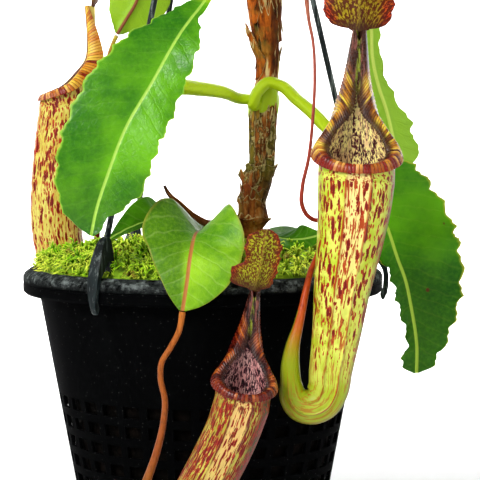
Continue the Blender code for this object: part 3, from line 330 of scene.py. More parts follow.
def leaf_look(name, dark, light, rib, back, gloss, veins=0.1, rib_half=0.9, stalk=srgb(164, 190, 18),
              vein_colour=None, margin=None, spots=0.0, shine=0.14, shade_below=None, shade_half=0):
    """Green leaf: mottled blade, midrib, side veins, yellow-green petiole, duller back, coloured margin, and
    where asked a painted shade below a height and on one half.
    """
    look = Look(name, gloss, shine)
    place = look.attribute("blade")
    along, across, share = place.parts()
    upper = look.attribute("side").parts()[0]
    reach = abs(across)
    cloud = look.noise(look.place(), 0.03, 4.0, 0.6)
    fine = look.noise(look.place(), 0.6)
    colour = look.mix(cloud.ramp(0.32, 0.68), dark, light)
    # Painted shade: the blade turns darker below the given height, where the lower leaves hang under the
    # rest.
    if shade_below:
        height, amount = shade_below
        shade = look.place().parts()[2].ramp(height + 16, height - 10)
        colour = colour.toward(darker(dark, 0.5), shade * amount)
    # Painted shade: the half of the blade on one side of the midrib is darker.
    if shade_half:
        colour = colour.toward(darker(dark, 0.6), share.ramp(-0.05, 0.3) * shade_half)
    colour = colour.toward(light, fine.ramp(0.35, 0.75) * 0.2)
    # Side veins leave the midrib at a slant and bend towards the tip.
    turn = (along - reach**0.85 * 0.95 + look.noise(place, 0.09, 2.0) * 5.0) / VEIN_PITCH
    vein = (abs(turn.fraction() - 0.5) * VEIN_PITCH).ramp(0.8, 0.0)
    net = look.cells(place.stretch(1.0, 1.0, 0.0), 0.42, "DISTANCE_TO_EDGE")["Distance"].ramp(0.1, 0.0)
    lines = vein_colour or rib
    colour = colour.under((lines, vein * veins), (lines, net * (veins * 0.25)))
    if margin:
        colour = colour.toward(margin, abs(share).ramp(0.93, 0.995) * 0.7)
    if spots:
        flecks = look.cells(place, 0.075)["Distance"].ramp(spots, spots * 0.6)
        colour = colour.toward(srgb(90, 45, 12), flecks)
    colour = colour.under(
        (look.mix(cloud * 0.6, back, light), upper.ramp(0.2, -0.2)),
        (rib, reach.ramp(rib_half * 1.3, rib_half * 0.7)),
        (stalk, along.ramp(5.0, -3.0)),
    )
    raised = look.noise(place, 0.3) * 0.9 - (vein * 0.3 + net * 0.2)
    return look.finish(colour, fine * 0.2 + (gloss - 0.08), raised, 0.4, 0.6)


def spot_depth(look, place, height, between, warped, cell, fill):
    """How deep a place lies inside the long spots: above 0 is inside."""
    wide, tall = cell
    cells = look.cells(place.stretch(1 / wide, 1 / wide, 1 / tall).shift(warped), 1.0)
    size = (cells["Color"].parts()[0] * SPOT_SPREAD + fill) * (height.ramp(0.2, 0.75) * 0.5 + 0.5)
    size = size - between * 0.12 + (warped - 0.5) * 0.35 - height.ramp(0.55, 0.25) * 0.45
    return size - cells["Distance"]


def pitcher_look(name, pale, ripe, tip, foot, panel, side_shading, shading_from, red, line, cell, fill, lines, low_lines):
    """The tube's outside: long dark red spots of two sizes, and fine streaks at its front and low down.

    cell: width and height of the room that each spot has. fill: how much of it the smallest spots take.
    shading_from: degrees from the front beyond which the tube's right side takes side_shading, a painted
    shade on the main and front pitchers and a painted light on the left one.
    """
    look = Look(name, 0.36, 0.2)
    place = look.attribute("tube")
    height, angle, _ = look.attribute("where").parts()
    around = abs(angle)
    cloud = look.noise(place, 0.09)
    between = around.ramp(WING_ANGLE + 3, WING_ANGLE - 4) * height.ramp(0.25, 0.6)
    threads = look.noise(place.stretch(1.0, 1.0, 0.1), 1.0, 3.0, 0.6, 0.3)
    near_front = (height.ramp(0.75, 0.4) * low_lines).greater(lines).greater(between)
    warped = look.noise(place.stretch(1.0, 1.0, 0.4), 0.6, 3.0, 0.65)
    inside = spot_depth(look, place, height, between, warped, cell, fill)
    small = spot_depth(look, place, height, between, warped, (cell[0] * 0.6, cell[1] * 0.5), fill - 0.06)
    mark = inside.ramp(-0.03, 0.05).greater(small.ramp(-0.02, 0.06))
    wing = abs(around - WING_ANGLE).ramp(2.6, 1.0) * height.ramp(0.12, 0.3)
    colour = look.mix(cloud.ramp(0.38, 0.62), pale, ripe).under(
        (tip, height.ramp(0.55, 0.2)),
        (foot, height.ramp(0.17, 0.02)),
        (panel, between * height.ramp(0.45, 0.95)),
        # Painted light and shade on the tube's right side: darker on the main and front pitchers, paler on
        # the left one.
        (side_shading, angle.ramp(-shading_from, -shading_from - 30)),
        (line, threads.ramp(0.515, 0.565) * near_front * height.ramp(0.14, 0.3)),
        (look.mix(inside.ramp(0.0, 0.2), red, MAROON), mark),
        (line, wing * cloud.ramp(0.3, 0.6)),
    )
    fine = look.noise(place, 1.3)
    return look.finish(colour, fine * 0.25 + 0.26, fine + mark * -0.3, 0.2, 0.5)


def inner_look(name, cream, purple, neck, cover=0.0):
    """The tube's waxy inside, speckled with purple, with a painted shade from the height of the neck up.

    cover: what is added to the share that the specks take.
    """
    look = Look(name, 0.55, 0.2)
    place = look.attribute("tube")
    patches = look.noise(place.stretch(1.0, 1.0, 0.8), 1.15, 3.0, 0.6, 0.5)
    limit = patches + (look.noise(place, 0.25, 2.0) - 0.5) * 0.25
    pink = look.noise(place, 0.16, 2.0).ramp(0.45, 0.6)
    colour = look.mix(pink * 0.45, cream, srgb(206, 120, 120)).under(
        (purple, limit.ramp(0.49 - cover, 0.53 - cover)),
        (darker(purple, 0.12), limit.ramp(0.55 - cover, 0.59 - cover)),
        # Painted shade: dark inside the tube from the neck's height up.
        (srgb(50, 26, 16), look.place().parts()[2].ramp(neck - 6, neck + 4)),
    )
    return look.finish(colour, None, look.noise(place, 0.9), 0.15, 0.4)


def lip_look(name, yellow, middle, dark, front_light, front_dark, darkness, neck_from=0.78):
    """The lip's ribs: bands from yellow to dark brown at the sides and red at the front, painted shade in the
    grooves and on the inner and outer edges, and a smooth neck with painted pinkish highlights.

    neck_from: share of the way from the mouth's front to the neck's top where the ribs fade.
    """
    look = Look(name, 0.3, 0.25)
    rib, across, along = look.attribute("lip").parts()
    reach = abs(along)
    each = rib.floor()
    own = look.noise(look.join(each * 1.37, across * 0.25), 1.0, 1.0)
    broad = look.noise(look.join(each * 0.24, across * 0.2, 4.0), 1.0, 2.0)
    tone = (own * 0.4 + broad * 0.6 - 0.5) * 2.7 + (0.5 + darkness)
    deep = darker(dark, 0.25)
    sides = look.colours(tone, (0.34, yellow), (0.5, middle), (0.66, dark), (0.85, deep))
    front_deep = darker(front_dark, 0.3)
    front = look.colours(tone, (0.3, front_light), (0.42, middle), (0.55, front_dark), (0.75, front_deep))
    streak = look.noise(look.place().stretch(1.0, 1.0, 0.12), 0.9)
    # Painted highlights: pinkish streaks over the neck's dark maroon.
    neck = look.mix(streak.ramp(0.48, 0.62), deep, srgb(112, 62, 52))
    neck = neck.toward(look.mix(streak.ramp(0.42, 0.55), deep, srgb(118, 128, 30)), across.ramp(-0.55, -0.85))
    colour = sides.under(
        (front, reach.ramp(0.34, 0.16)),
        # Painted shade in the grooves between the ribs.
        (deep, abs(rib.fraction() - 0.5).ramp(0.3, 0.5) * 0.8),
        # Painted shade: the lip's inner half, towards the mouth, nearly black.
        (deep, across.ramp(0.05, -0.65) * 0.92),
        # The rolled outer edge turns dark red: its own red and a painted shade.
        (front_dark, across.ramp(0.5, 1.0) * 0.55),
        (neck, reach.ramp(neck_from - 0.07, neck_from + 0.05)),
    )
    fine = look.noise(look.place(), 0.9, 2.0)
    return look.finish(colour, fine * 0.2 + 0.18, fine, 0.08, 0.3)


def lid_look(name, centre, speck, rim, fineness=1.0):
    """The lid: dense freckles along veins that fan out from its foot, and a wide red margin."""
    look = Look(name, 0.42, 0.12)
    place = look.attribute("blade")
    along, across, share = place.parts()
    cloud = look.noise(place, 0.2, 4.0, 0.6)
    rays = look.noise(look.join(across / (along + 9.0) * 16.0, along * 0.42), fineness, 4.0, 0.65)
    border = (abs(share) + (cloud - 0.5) * 0.9).ramp(0.5, 0.95)
    colour = look.mix(cloud.ramp(0.35, 0.65), centre, darker(centre, 0.55)).under(
        (rim, border * 0.9),
        (speck, (rays - (0.47 - border * 0.02)).ramp(-0.02, 0.03) * 0.95),
        (srgb(150, 130, 40), abs(across).ramp(0.7, 0.2) * 0.35),
        (srgb(54, 22, 10), along.ramp(7.0, 0.0) * 0.85),
    )
    return look.finish(colour, None, rays + cloud, 0.3, 0.5)


def tendril_look(name, green, orange, red, foot):
    """A tendril, from the leaf's colour over orange and red to its pitcher's colour at the end."""
    look = Look(name, 0.38, 0.2)
    share = look.attribute("along").parts()[0]
    colour = look.colours(share, (0.0, green), (0.12, orange), (0.7, red), (1.0, foot))
    fine = look.noise(look.place().stretch(1.0, 1.0, 0.4), 0.8)
    colour = colour.toward(darker(red, 0.45), fine.ramp(0.45, 0.7) * 0.6)
    return look.finish(colour, fine * 0.2 + 0.28, fine, 0.2, 0.5)


def bark_look(name):
    """Bark that goes from dark brown at the foot over grey-green to orange-brown, with pale torn edges, and
    painted shade in its deep furrows and down its right side.
    """
    look = Look(name, 0.78, 0.1)
    place = look.place()
    x, _, z = place.parts()
    grain = look.noise(place.stretch(1.0, 1.0, 0.14), 0.6, 5.0, 0.65)
    patch = look.noise(place, 0.12, 4.0, 0.6)
    # First value: how high the stem's bark stands, with painted shade in its furrows, or on a flake its own
    # tone.
    furrow_shade_and_tone, _, torn = look.attribute("bark").parts()
    tone = grain * 0.55 + patch * 0.45 + (furrow_shade_and_tone - 0.6) * 0.16
    lower = look.colours(tone, (0.38, srgb(26, 13, 5)), (0.46, srgb(122, 64, 20)), (0.56, srgb(172, 102, 40)),
                         (0.72, srgb(196, 146, 84)))
    middle = look.colours(tone, (0.4, srgb(34, 22, 8)), (0.46, srgb(116, 90, 22)), (0.55, srgb(160, 122, 42)),
                          (0.72, srgb(196, 166, 100)))
    upper = look.colours(tone, (0.38, srgb(44, 18, 4)), (0.46, srgb(128, 58, 8)), (0.56, srgb(178, 90, 18)),
                         (0.7, srgb(200, 128, 56)))
    drift = (patch - 0.5) * 30.0
    height = z + drift
    reddish = look.noise(place, 0.09, 2.0).ramp(0.46, 0.36) * height.ramp(246.0, 236.0)
    # Long plates from the foot up to the green leaf base, each red-brown or olive, with a pale torn outline.
    bent = place.stretch(0.2, 0.2, 0.055).shift(look.noise(place, 0.25) * 0.9)
    own = look.cells(bent, 1.0)["Color"].parts()[0]
    gap = look.cells(bent, 1.0, "DISTANCE_TO_EDGE")["Distance"]
    plated = height.ramp(176.0, 196.0) * z.ramp(244.0, 236.0)
    right = x + drift * 0.1
    colour = lower.under(
        (middle, height.ramp(192.0, 204.0)),
        (upper, height.ramp(236.0, 246.0)),
        (srgb(86, 92, 30), look.noise(place, 0.07).ramp(0.54, 0.68) * 0.5),
        (srgb(140, 60, 26), reddish * 0.55),
        (srgb(150, 62, 28), own.ramp(0.55, 0.75) * 0.6 * plated),
        (srgb(84, 92, 26), own.ramp(0.4, 0.2) * 0.5 * plated),
        (srgb(34, 20, 8), gap.ramp(0.15, 0.07) * 0.7 * plated),
        (srgb(178, 160, 98), gap.ramp(0.07, 0.03) * grain.ramp(0.4, 0.55) * 0.85 * plated),
        # Painted shade down the stem's right side, high up and low down.
        (srgb(44, 20, 6), right.ramp(34.5, 37.0) * z.ramp(240.0, 252.0) * 0.75),
        (srgb(40, 20, 8), right.ramp(29.0, 33.0) * z.ramp(208.0, 194.0) * 0.6),
        # Painted shade: near black in the deepest furrows of the stem.
        (srgb(24, 13, 6), furrow_shade_and_tone.ramp(0.3, 0.0)),
        (srgb(196, 172, 112), torn.ramp(0.7, 0.95) * grain.ramp(0.4, 0.5)),
    )
    return look.finish(colour, grain * 0.3 + 0.6, grain + gap.ramp(0.0, 0.12) * plated * 0.4, 1.0, 0.9)


def moss_look(name, deep):
    """Live moss: dark at the foot of each leaf, a painted shade between the shoots, and lime to yellow at its
    tip, with a few dead shoots.
    """
    look = Look(name, 0.62, 0.1)
    share, tone, brown = look.attribute("shoot").parts()
    bright_lime = look.mix(tone, srgb(144, 210, 8), srgb(248, 255, 84))
    fine = look.noise(look.place(), 1.2, 2.0)
    # Painted shade: each leaf starts dark at its foot and brightens towards its tip.
    colour = look.mix(tone, deep, srgb(76, 140, 0)).under(
        (bright_lime, share.ramp(0.0, 0.7)),
        (srgb(110, 164, 10), fine.ramp(0.5, 0.8) * 0.3),
        (srgb(120, 84, 34), brown * 0.8),
    )
    return look.finish(colour, None, fine, 0.2, 0.4)


def plastic_look(name, colour, scuff, gloss, shine, dust_and_sheen=0.0, fibres=0.0):
    """Moulded plastic with a faint texture, scuffs, drawn fibres and, above, dust and a painted sheen."""
    look = Look(name, gloss, shine)
    place = look.place()
    smear = look.noise(place.stretch(1.0, 1.0, 0.35), 0.05, 4.0, 0.7)
    tone = look.mix(smear.ramp(0.45, 0.75) * 0.5, colour, scuff)
    tone = tone.toward(srgb(150, 150, 145), look.cells(place, 0.35)["Distance"].ramp(0.16, 0.08) * 0.06)
    if fibres:
        drawn = look.noise(place.stretch(1.0, 1.0, 0.1), 0.55, 4.0, 0.7).ramp(0.52, 0.62)
        tone = tone.toward(srgb(120, 130, 126), drawn * fibres)
    if dust_and_sheen:
        # Dust and a painted sheen on the top of the rim.
        patches = look.noise(place.stretch(1.0, 1.0, 2.0), 0.16, 5.0, 0.75).ramp(0.46, 0.6)
        grit_and_sheen = look.noise(place, 0.35, 4.0, 0.6).ramp(0.28, 0.72) * (patches * 0.8 + 0.2)
        tone = tone.toward(srgb(150, 160, 156), look.attribute("rim").parts()[0] * grit_and_sheen * dust_and_sheen)
    return look.finish(tone, smear * 0.3 + (gloss - 0.12), look.noise(place, 2.2, 2.0), 0.05, 0.5)


def mix_look(name):
    """Bark and grit of the potting mix, seen through the slots."""
    look = Look(name, 0.95, 0.05)
    chips = look.cells(look.place(), 0.16)
    colour = look.mix(chips["Color"].parts()[0], srgb(4, 3, 2), srgb(13, 8, 5))
    colour = colour.toward(srgb(3, 2, 1), chips["Distance"].ramp(0.3, 0.7))
    return look.finish(colour, None, chips["Distance"], 2.0, 0.9)


# Shapes


def unit(vector):
    vector = np.asarray(vector, float)
    return vector / np.linalg.norm(vector, axis=-1, keepdims=True)


def spoke(angle):
    """Straight out from the Z axis, at an angle in radians from +X."""
    return np.array([math.cos(angle), math.sin(angle), 0.0])


def run(points):
    """The length of the way from the first point to each point."""
    return np.concatenate([[0], np.cumsum(np.linalg.norm(np.diff(points, axis=0), axis=1))])


def hermite(t, start, start_slope, end, end_slope):
    """Between two values with the given slopes, at t from 0 to 1."""
    return ((2 * t**3 - 3 * t**2 + 1) * start + (t**3 - 2 * t**2 + t) * start_slope
            + (3 * t**2 - 2 * t**3) * end + (t**3 - t**2) * end_slope)


def by_index(rows, places):
    """Rows on a smooth curve through the given ones, at places counted in rows."""
    rows, places = np.asarray(rows, float), np.asarray(places, float)
    slopes = np.gradient(rows, axis=0)
    i = np.clip(places.astype(int), 0, len(rows) - 2)
    return hermite((places - i)[:, None], rows[i], slopes[i], rows[i + 1], slopes[i + 1])


def closed_curve(corners, count):
    return by_index([*corners[-2:], *corners, *corners[:3]], np.linspace(2, 2 + len(corners), count + 1)[:-1])


def spline(rows, places):
    """Rows on a smooth curve through the given ones, at shares of its length in the first three columns."""
    rows = np.asarray(rows, float)
    at = run(rows[:, :3])
    slopes = np.gradient(rows, at, axis=0)
    t = np.linspace(0, 1, 24, endpoint=False)[:, None]
    dense = [hermite(t, rows[i], length * slopes[i], rows[i + 1], length * slopes[i + 1])
             for i, length in enumerate(np.diff(at))]
    dense = np.concatenate([*dense, rows[-1:]])
    along = run(dense[:, :3])
    return np.array([np.interp(places * along[-1], along, column) for column in dense.T]).T


def eased(places, at, values):
    """Values on a smooth curve through the given ones that doesn't pass beyond them."""
    at, values = np.asarray(at, float), np.asarray(values, float)
    steps = np.diff(at)
    rises = np.diff(values) / steps
    product = rises[:-1] * rises[1:]
    total = rises[:-1] + rises[1:]
    between = np.where(product > 0, 2 * product / np.where(total == 0, 1, total), 0)
    slopes = np.concatenate([rises[:1], between, rises[-1:]])
    i = np.clip(np.searchsorted(at, places, side="right") - 1, 0, len(at) - 2)
    t = np.clip((places - at[i]) / steps[i], 0, 1)
    return hermite(t, values[i], steps[i] * slopes[i], values[i + 1], steps[i] * slopes[i + 1])


def directions(path):
    return unit(np.gradient(path[:, :3], axis=0))


def round_rings(path, sides, first_side=(0.3, -1.0, 0.2), from_end=False):
    """Circles round a path of x, y, z and radius, turned no more than the path bends."""
    along = directions(path)
    side = np.asarray(first_side, float)
    rings = [None] * len(path)
    angles = (np.arange(sides) * 2 * math.pi / sides)[:, None]
    for i in range(len(path))[::-1 if from_end else 1]:
        side = unit(side - np.dot(side, along[i]) * along[i])
        other = np.cross(along[i], side)
        rings[i] = path[i, :3] + path[i, 3] * (np.cos(angles) * side + np.sin(angles) * other)
    return np.array(rings)


def loft(rings, closed=False, blade=False, ends=True):
    """Points and faces of a body through rings with the same number of points."""
    rings = np.asarray(rings, float)
    count, around = rings.shape[:2]
    index = np.arange(count * around).reshape(count, around)
    low = index if closed else index[:-1]
    high = np.roll(index, -1, 0) if closed else index[1:]
    faces = np.stack([low, np.roll(low, -1, 1), np.roll(high, -1, 1), high], -1).reshape(-1, 4).tolist()
    if ends and not closed:
        for ring, turned in ((index[0].tolist(), True), (index[-1].tolist(), False)):
            steps = range(around // 2 - 1)
            across = [[ring[k], ring[k + 1], ring[around - 2 - k], ring[around - 1 - k]] for k in steps]
            faces += [cap[::-1] if turned else cap for cap in (across if blade else [ring])]
    return rings.reshape(-1, 3), faces


def add_object(name, data):
    made = bpy.data.objects.new(name, data)
    bpy.context.scene.collection.objects.link(made)
    return made


def piece(node, points, faces, looks, slot, attributes=None, face_looks=None, flat_above=None, name=None):
    """A finished piece from points in millimetres, riding on the plant's one body.

    node: the solid that it replaces, if it replaces one. Its own name follows from that, unless one is given.
    """
    points = np.asarray(points, float)
    corners = points[[(face[0], face[1], face[2]) for face in faces]]
    if np.linalg.det(corners).sum() < 0:
        faces = [face[::-1] for face in faces]
    name = name or node + "_finish"
    mesh = bpy.data.meshes.new(name)
    mesh.from_pydata((points * MM).tolist(), [], faces)
    for look in looks:
        mesh.materials.append(look)
    if face_looks is not None:
        mesh.polygons.foreach_set("material_index", np.asarray(face_looks, np.int32))
    for key, rows in (attributes or {}).items():
        stored = mesh.attributes.new(key, "FLOAT_VECTOR", "POINT")
        stored.data.foreach_set("vector", np.asarray(rows, np.float32).reshape(-1))
    mesh.shade_smooth()
    if flat_above:
        mesh.set_sharp_from_angle(angle=math.radians(flat_above))
    made = add_object(name, mesh)
    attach(made, "root")
    if node:
        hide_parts(node)
    return made


def rolling(points, size, amount, seed=0.0):
    """Smooth noise at each point, from -amount to amount."""
    rolls = [noise.noise(Vector((x / size, y / size, z / size + seed))) for x, y, z in points]
    return np.array(rolls) * amount


# Pot


def pot(look):
    """Outside and inside sheets joined through the rim and round each hole, with softened edges."""
    outside = [(8, 0), (20, 0), (32, 0), (50, 0), (POT_BASE_RADIUS - 1.5, 0), (POT_BASE_RADIUS, 0.8)]
    inside = [(r if r < 55 else r - POT_WALL, POT_FLOOR) for r, _ in outside]
    first_slot_row = len(outside)
    tops = [SLOT_TOP - row * SLOT_PITCH for row in reversed(range(SLOT_ROWS))]
    levels = [level for top in tops for level in (top - SLOT_HEIGHT, top)]
    levels += np.linspace(SLOT_TOP, POT_HEIGHT - RIM_DROP, 8)[1:].tolist()
    outside += [(POT_BASE_RADIUS + POT_FLARE * level, level) for level in levels]
    inside += [(POT_BASE_RADIUS + POT_FLARE * level - POT_WALL, level) for level in levels]
    lip = [(RIM_RADIUS - inward, POT_HEIGHT - drop) for inward, drop in RIM_OUTLINE]
    splits = (0.0, 0.34, 0.67, 0.835)  # two parts of a slot, and two of the wall beside it
    angles = np.radians([(k + s) * 360 / SLOT_COLUMNS for k in range(SLOT_COLUMNS) for s in splits])
    columns = len(angles)
    rows = outside + inside + lip
    points = np.array([(r * math.cos(a), r * math.sin(a), z) for r, z in rows for a in angles])
    faces = []

    def quad(low, high, column):
        after = (column + 1) % columns
        low, high = low * columns, high * columns
        return [low + column, low + after, high + after, high + column]

    for row in range(len(outside) - 1):
        slots = 0 <= row - first_slot_row < 2 * SLOT_ROWS and (row - first_slot_row) % 2 == 0
        repeat, wide = (4, 2) if slots else (24, 8)
        for column in range(columns):
            outer, inner = (quad(first + row, first + row + 1, column) for first in (0, len(outside)))
            step = column % repeat
            if step >= wide or not (slots or row == 1):
                faces += [outer, inner[::-1]]
                continue
            for i, j in [(0, 1), (2, 3)] + [(3, 0)] * (step == 0) + [(1, 2)] * (step == wide - 1):
                faces.append([outer[i], outer[j], inner[j], inner[i]])
    order = [len(outside) - 1, *range(len(outside) + len(inside), len(rows)), len(outside) + len(inside) - 1]
    for low, high in zip(order, order[1:]):
        faces += [quad(low, high, column) for column in range(columns)]
    faces.append(list(range(columns))[::-1])
    faces.append([len(outside) * columns + column for column in range(columns)])
    # How far up the rim's top a point lies, where the plastic takes dust and a painted sheen.
    rim = np.repeat(np.clip((points[:, 2:] - (POT_HEIGHT - 6.5)) / 3, 0, 1), 3, 1)
    made = piece("pot", points, faces, [look], "black_plastic", {"rim": rim}, flat_above=35)
    bevel = made.modifiers.new("soft_edges", "BEVEL")
    bevel.width = 0.35 * MM
    bevel.segments = 2
    bevel.angle_limit = math.radians(50)
    bevel.harden_normals = True


# Hanger


def strand(tag, direction, look):
    """The clip with its ribbed tongue, and the round strand above it."""
    outward = spoke(math.radians(direction))
    across = np.array([-outward[1], outward[0], 0.0])
    outline = closed_curve(CLIP_OUTLINE, 112)
    middle = outline.mean(axis=0)
    rings = []
    for span in np.linspace(-1, 1, 7):
        ring = []
        for n, (radius, height) in enumerate(outline):
            narrow = np.interp(height, [136, 146, 158, 170], [0.5, 1.0, 1.0, 0.62])
            rib = 0.28 * (n % 4 < 2 and 96 < radius and height < 164 and abs(span) < 0.9)
            out, up = unit(middle - (radius, height)) * 0.35 * (abs(span) > 0.99)
            reach = outward * (radius + out - rib)
            ring.append(reach + across * span * narrow * CLIP_WIDTH / 2 + (0, 0, height + up))
        rings.append(ring)
    points, faces = loft(rings)
    start = outward * STRAND_FOOT[0] + (0, 0, STRAND_FOOT[1])
    end = outward * STRAND_SPREAD + APEX + (0, 0, COLLAR_BOTTOM - CLEAR - STRAND_RADIUS * 0.3)
    path = np.array([(*(start + (end - start) * t), STRAND_RADIUS) for t in np.linspace(0, 1, 40)])
    rod_points, rod_faces = loft(round_rings(path, 20))
    faces += [[i + len(points) for i in face] for face in rod_faces]
    piece("hanger_strand_" + tag, np.concatenate([points, rod_points]), faces, [look], "slate_plastic",
          flat_above=55, name="strand_" + tag + "_finish")


def hanger_hook(look):
    x, y, z = APEX
    collar = [(COLLAR_BOTTOM, 5.0), (-4.5, 6.2), (4, 5.6), (9, 3.4), (16, HOOK_WIRE)]
    route = [(x, y, z + h, r) for h, r in collar]
    centre = z + 16 + 6 + HOOK_RADIUS
    for angle in np.radians(range(-60, 200, 20)):
        across, above = HOOK_RADIUS * math.cos(angle), HOOK_RADIUS * math.sin(angle)
        route.append((x + across, y, centre + above, HOOK_WIRE))
    path = spline(route, np.linspace(0, 1, 160))
    piece("hanger_hook", *loft(round_rings(path, 28)), [look], "slate_plastic")


# Moss


def cushion_height(reach):
    return MOSS_TOP - (MOSS_TOP - MOSS_EDGE - 2.5) * reach**5


def moss_bed(look):
    """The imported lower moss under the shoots."""
    columns, rows = 96, 26
    hole = STEM_FOOT_RADIUS + 2 * CLEAR
    inside = POT_BASE_RADIUS - POT_WALL + POT_FLARE * MIX_TOP - CLEAR
    spokes = np.array([spoke(angle) for angle in np.arange(columns) * 2 * math.pi / columns])
    first = spokes * hole + (STEM_FOOT[0], STEM_FOOT[1], 0)
    foot = (0, 0, MIX_TOP + CLEAR)
    rings = [first + foot, first + (0, 0, MOSS_TOP - 3.0)]
    for row in range(1, rows + 1):
        share = (row / rows) ** 0.8
        ring = first * (1 - share) + spokes * (MOSS_RADIUS - 1.5) * share
        ring[:, 2] = cushion_height(np.linalg.norm(ring, axis=1) / MOSS_RADIUS) - 2.4
        ring[:, 2] += rolling(ring, 9.0, 1.6) + rolling(ring, 3.2, 1.0, 5.0)
        rings.append(ring)
    rings += [spokes * (MOSS_RADIUS - 2.5) + (0, 0, MOSS_EDGE - 4.0), spokes * inside + foot]
    points, faces = loft(rings, closed=True)
    shoot = np.zeros((len(points), 3))
    # Low on the painted shade ramp, so the bed under the shoots stays dark.
    shoot[:, 0] = 0.25
    shoot[:, 1] = 0.5 + rolling(points, 12.0, 0.5)
    piece("moss", points, faces, [look], "sphagnum", {"shoot": shoot}, name="moss_bed")


def moss_leaf(draw, points, faces, shoot, centre, size, lean, inner, turn, tone, brown, lowest):
    """One curled leaf of a shoot, three-sided, from its foot to its tip."""
    out = spoke(turn)
    length = size * draw.uniform(2.6, 6.4) * (0.5 if inner else 1.0)
    rise = size * draw.uniform(1.4, 4.2) * (1.4 if inner else 1.0)
    droop = draw.uniform(0.2, 1.0) * (not inner)
    curl = draw.uniform(-1.6, 1.6)
    side = np.array([-out[1], out[0], 0.0])
    width = size * draw.uniform(0.3, 0.6)
    own = min(max(tone + draw.uniform(-0.25, 0.25), 0.0), 1.0)
    base = len(points)
    for share, half in ((0.0, 0.8 * width), (0.45, width), (0.8, 0.6 * width), (1.0, 0.0)):
        middle = centre + (out + lean) * length * share + side * curl * share**2
        middle[2] = max(middle[2] + rise * math.sin(share * 2.2) - droop * length * share**3, lowest)
        ridge = middle + (0, 0, half * 0.9)
        corners = [middle - side * half, middle + side * half, ridge] if half else [middle]
        points += corners
        shoot += [(share, own, brown)] * len(corners)
    for ring in (0, 3):
        for i in range(3):
            j = (i + 1) % 3
            faces.append([base + ring + i, base + ring + j, base + ring + 3 + j, base + ring + 3 + i])
    faces += [[base + 6 + i, base + 6 + (i + 1) % 3, base + 9] for i in range(3)]
    faces.append([base + 2, base + 1, base])


def roll_at(x, y, size, seed):
    return noise.noise(Vector((x / size, y / size, seed)))


def moss_shoots(look):
    """Tufts of small curled leaves that stand on the cushion, and hang over its edge."""
    draw = random.Random(11)
    places = []
    for n in range(SHOOTS):
        radius = math.sqrt((n + 0.5) / SHOOTS) * (MOSS_RADIUS - 3.0)
        angle = n * math.pi * (3 - math.sqrt(5)) + draw.uniform(-0.3, 0.3)
        x = radius * math.cos(angle) + draw.uniform(-2.5, 2.5)
        y = radius * math.sin(angle) + draw.uniform(-2.5, 2.5)
        if math.hypot(x - STEM_FOOT[0], y - STEM_FOOT[1]) > STEM_FOOT_RADIUS + 3.0:
            places.append((x, y, 1.0, 0.0))
    for n in range(EDGE_SHOOTS):
        angle = (n + draw.uniform(-0.4, 0.4)) / EDGE_SHOOTS * 2 * math.pi
        radius = MOSS_RADIUS - (n % 2) * 2.5 - draw.uniform(0.0, 2.0)
        places.append((radius * math.cos(angle), radius * math.sin(angle), 0.8, 2.0 * ((n + 1) % 2)))
    points, faces, shoot = [], [], []
    for x, y, size, sunk in places:
        reach = min(math.hypot(x, y) / MOSS_RADIUS, 1.0)
        lump = roll_at(x, y, 15, 3.0) * 3.4 + roll_at(x, y, 6, 8.0) * 1.6
        centre = np.array([x, y, cushion_height(reach) - 1.6 + lump - sunk])
        tone = 0.5 + 0.9 * roll_at(x, y, 11, 9.0) + draw.uniform(-0.3, 0.3)
        brown = 1.0 if draw.random() < 0.05 else 0.0
        size *= draw.uniform(0.6, 1.3)
        sway = (draw.uniform(-0.3, 0.3), draw.uniform(-0.3, 0.3), 0.0)
        lean = np.array([x, y, 0.0]) / MOSS_RADIUS * 0.5 + sway
        lowest = MOSS_EDGE - 0.4 if reach > 0.9 else 0.0
        for k in range(LEAVES_OF_SHOOT):
            turn = k * 2.39 + draw.uniform(-0.6, 0.6)
            inner = k >= OUTER_LEAVES
            moss_leaf(draw, points, faces, shoot, centre, size, lean, inner, turn, tone, brown, lowest)
    piece(None, points, faces, [look], "sphagnum", {"shoot": shoot}, name="moss_shoots")


# Stem


def stem_at(height):
    """The middle and radius of the stem at a height."""
    rows = np.array(STEM, float)
    return [float(np.interp(height, rows[:, 2], rows[:, i])) for i in (0, 1, 3)]


def stem(look):
    """The woody stem with furrowed bark."""
    path = spline(STEM, np.linspace(0, 1, 340))
    rings = round_rings(path, 72, (0.0, -1.0, 0.0))
    furrow_shade_and_tone = []
    for ring, row in zip(rings, path):
        out = (ring - row[:3]) / row[3]
        grain = [noise.fractal(Vector((d[0] * 2.6, d[1] * 2.6, row[2] * 0.045)), 0.7, 2.1, 4) for d in out]
        plates = [noise.noise(Vector((d[0] * 1.3, d[1] * 1.3, row[2] * 0.07 + 20))) for d in out]
        depth = np.clip(np.array(grain) * 0.55 + np.array(plates) * 0.35, -0.75, 0.4)
        ring += out * (depth * min(row[3] / 5, 1.0) - 0.1)[:, None]
        # 0 in the deepest furrows, where the bark look paints shade.
        furrow_shade_and_tone += np.clip(0.65 + depth, 0, 1).tolist()
    bark = np.repeat(np.array(furrow_shade_and_tone)[:, None], 3, 1)
    piece("stem", *loft(rings), [look], "bark", {"bark": bark}, name="stem_bark")


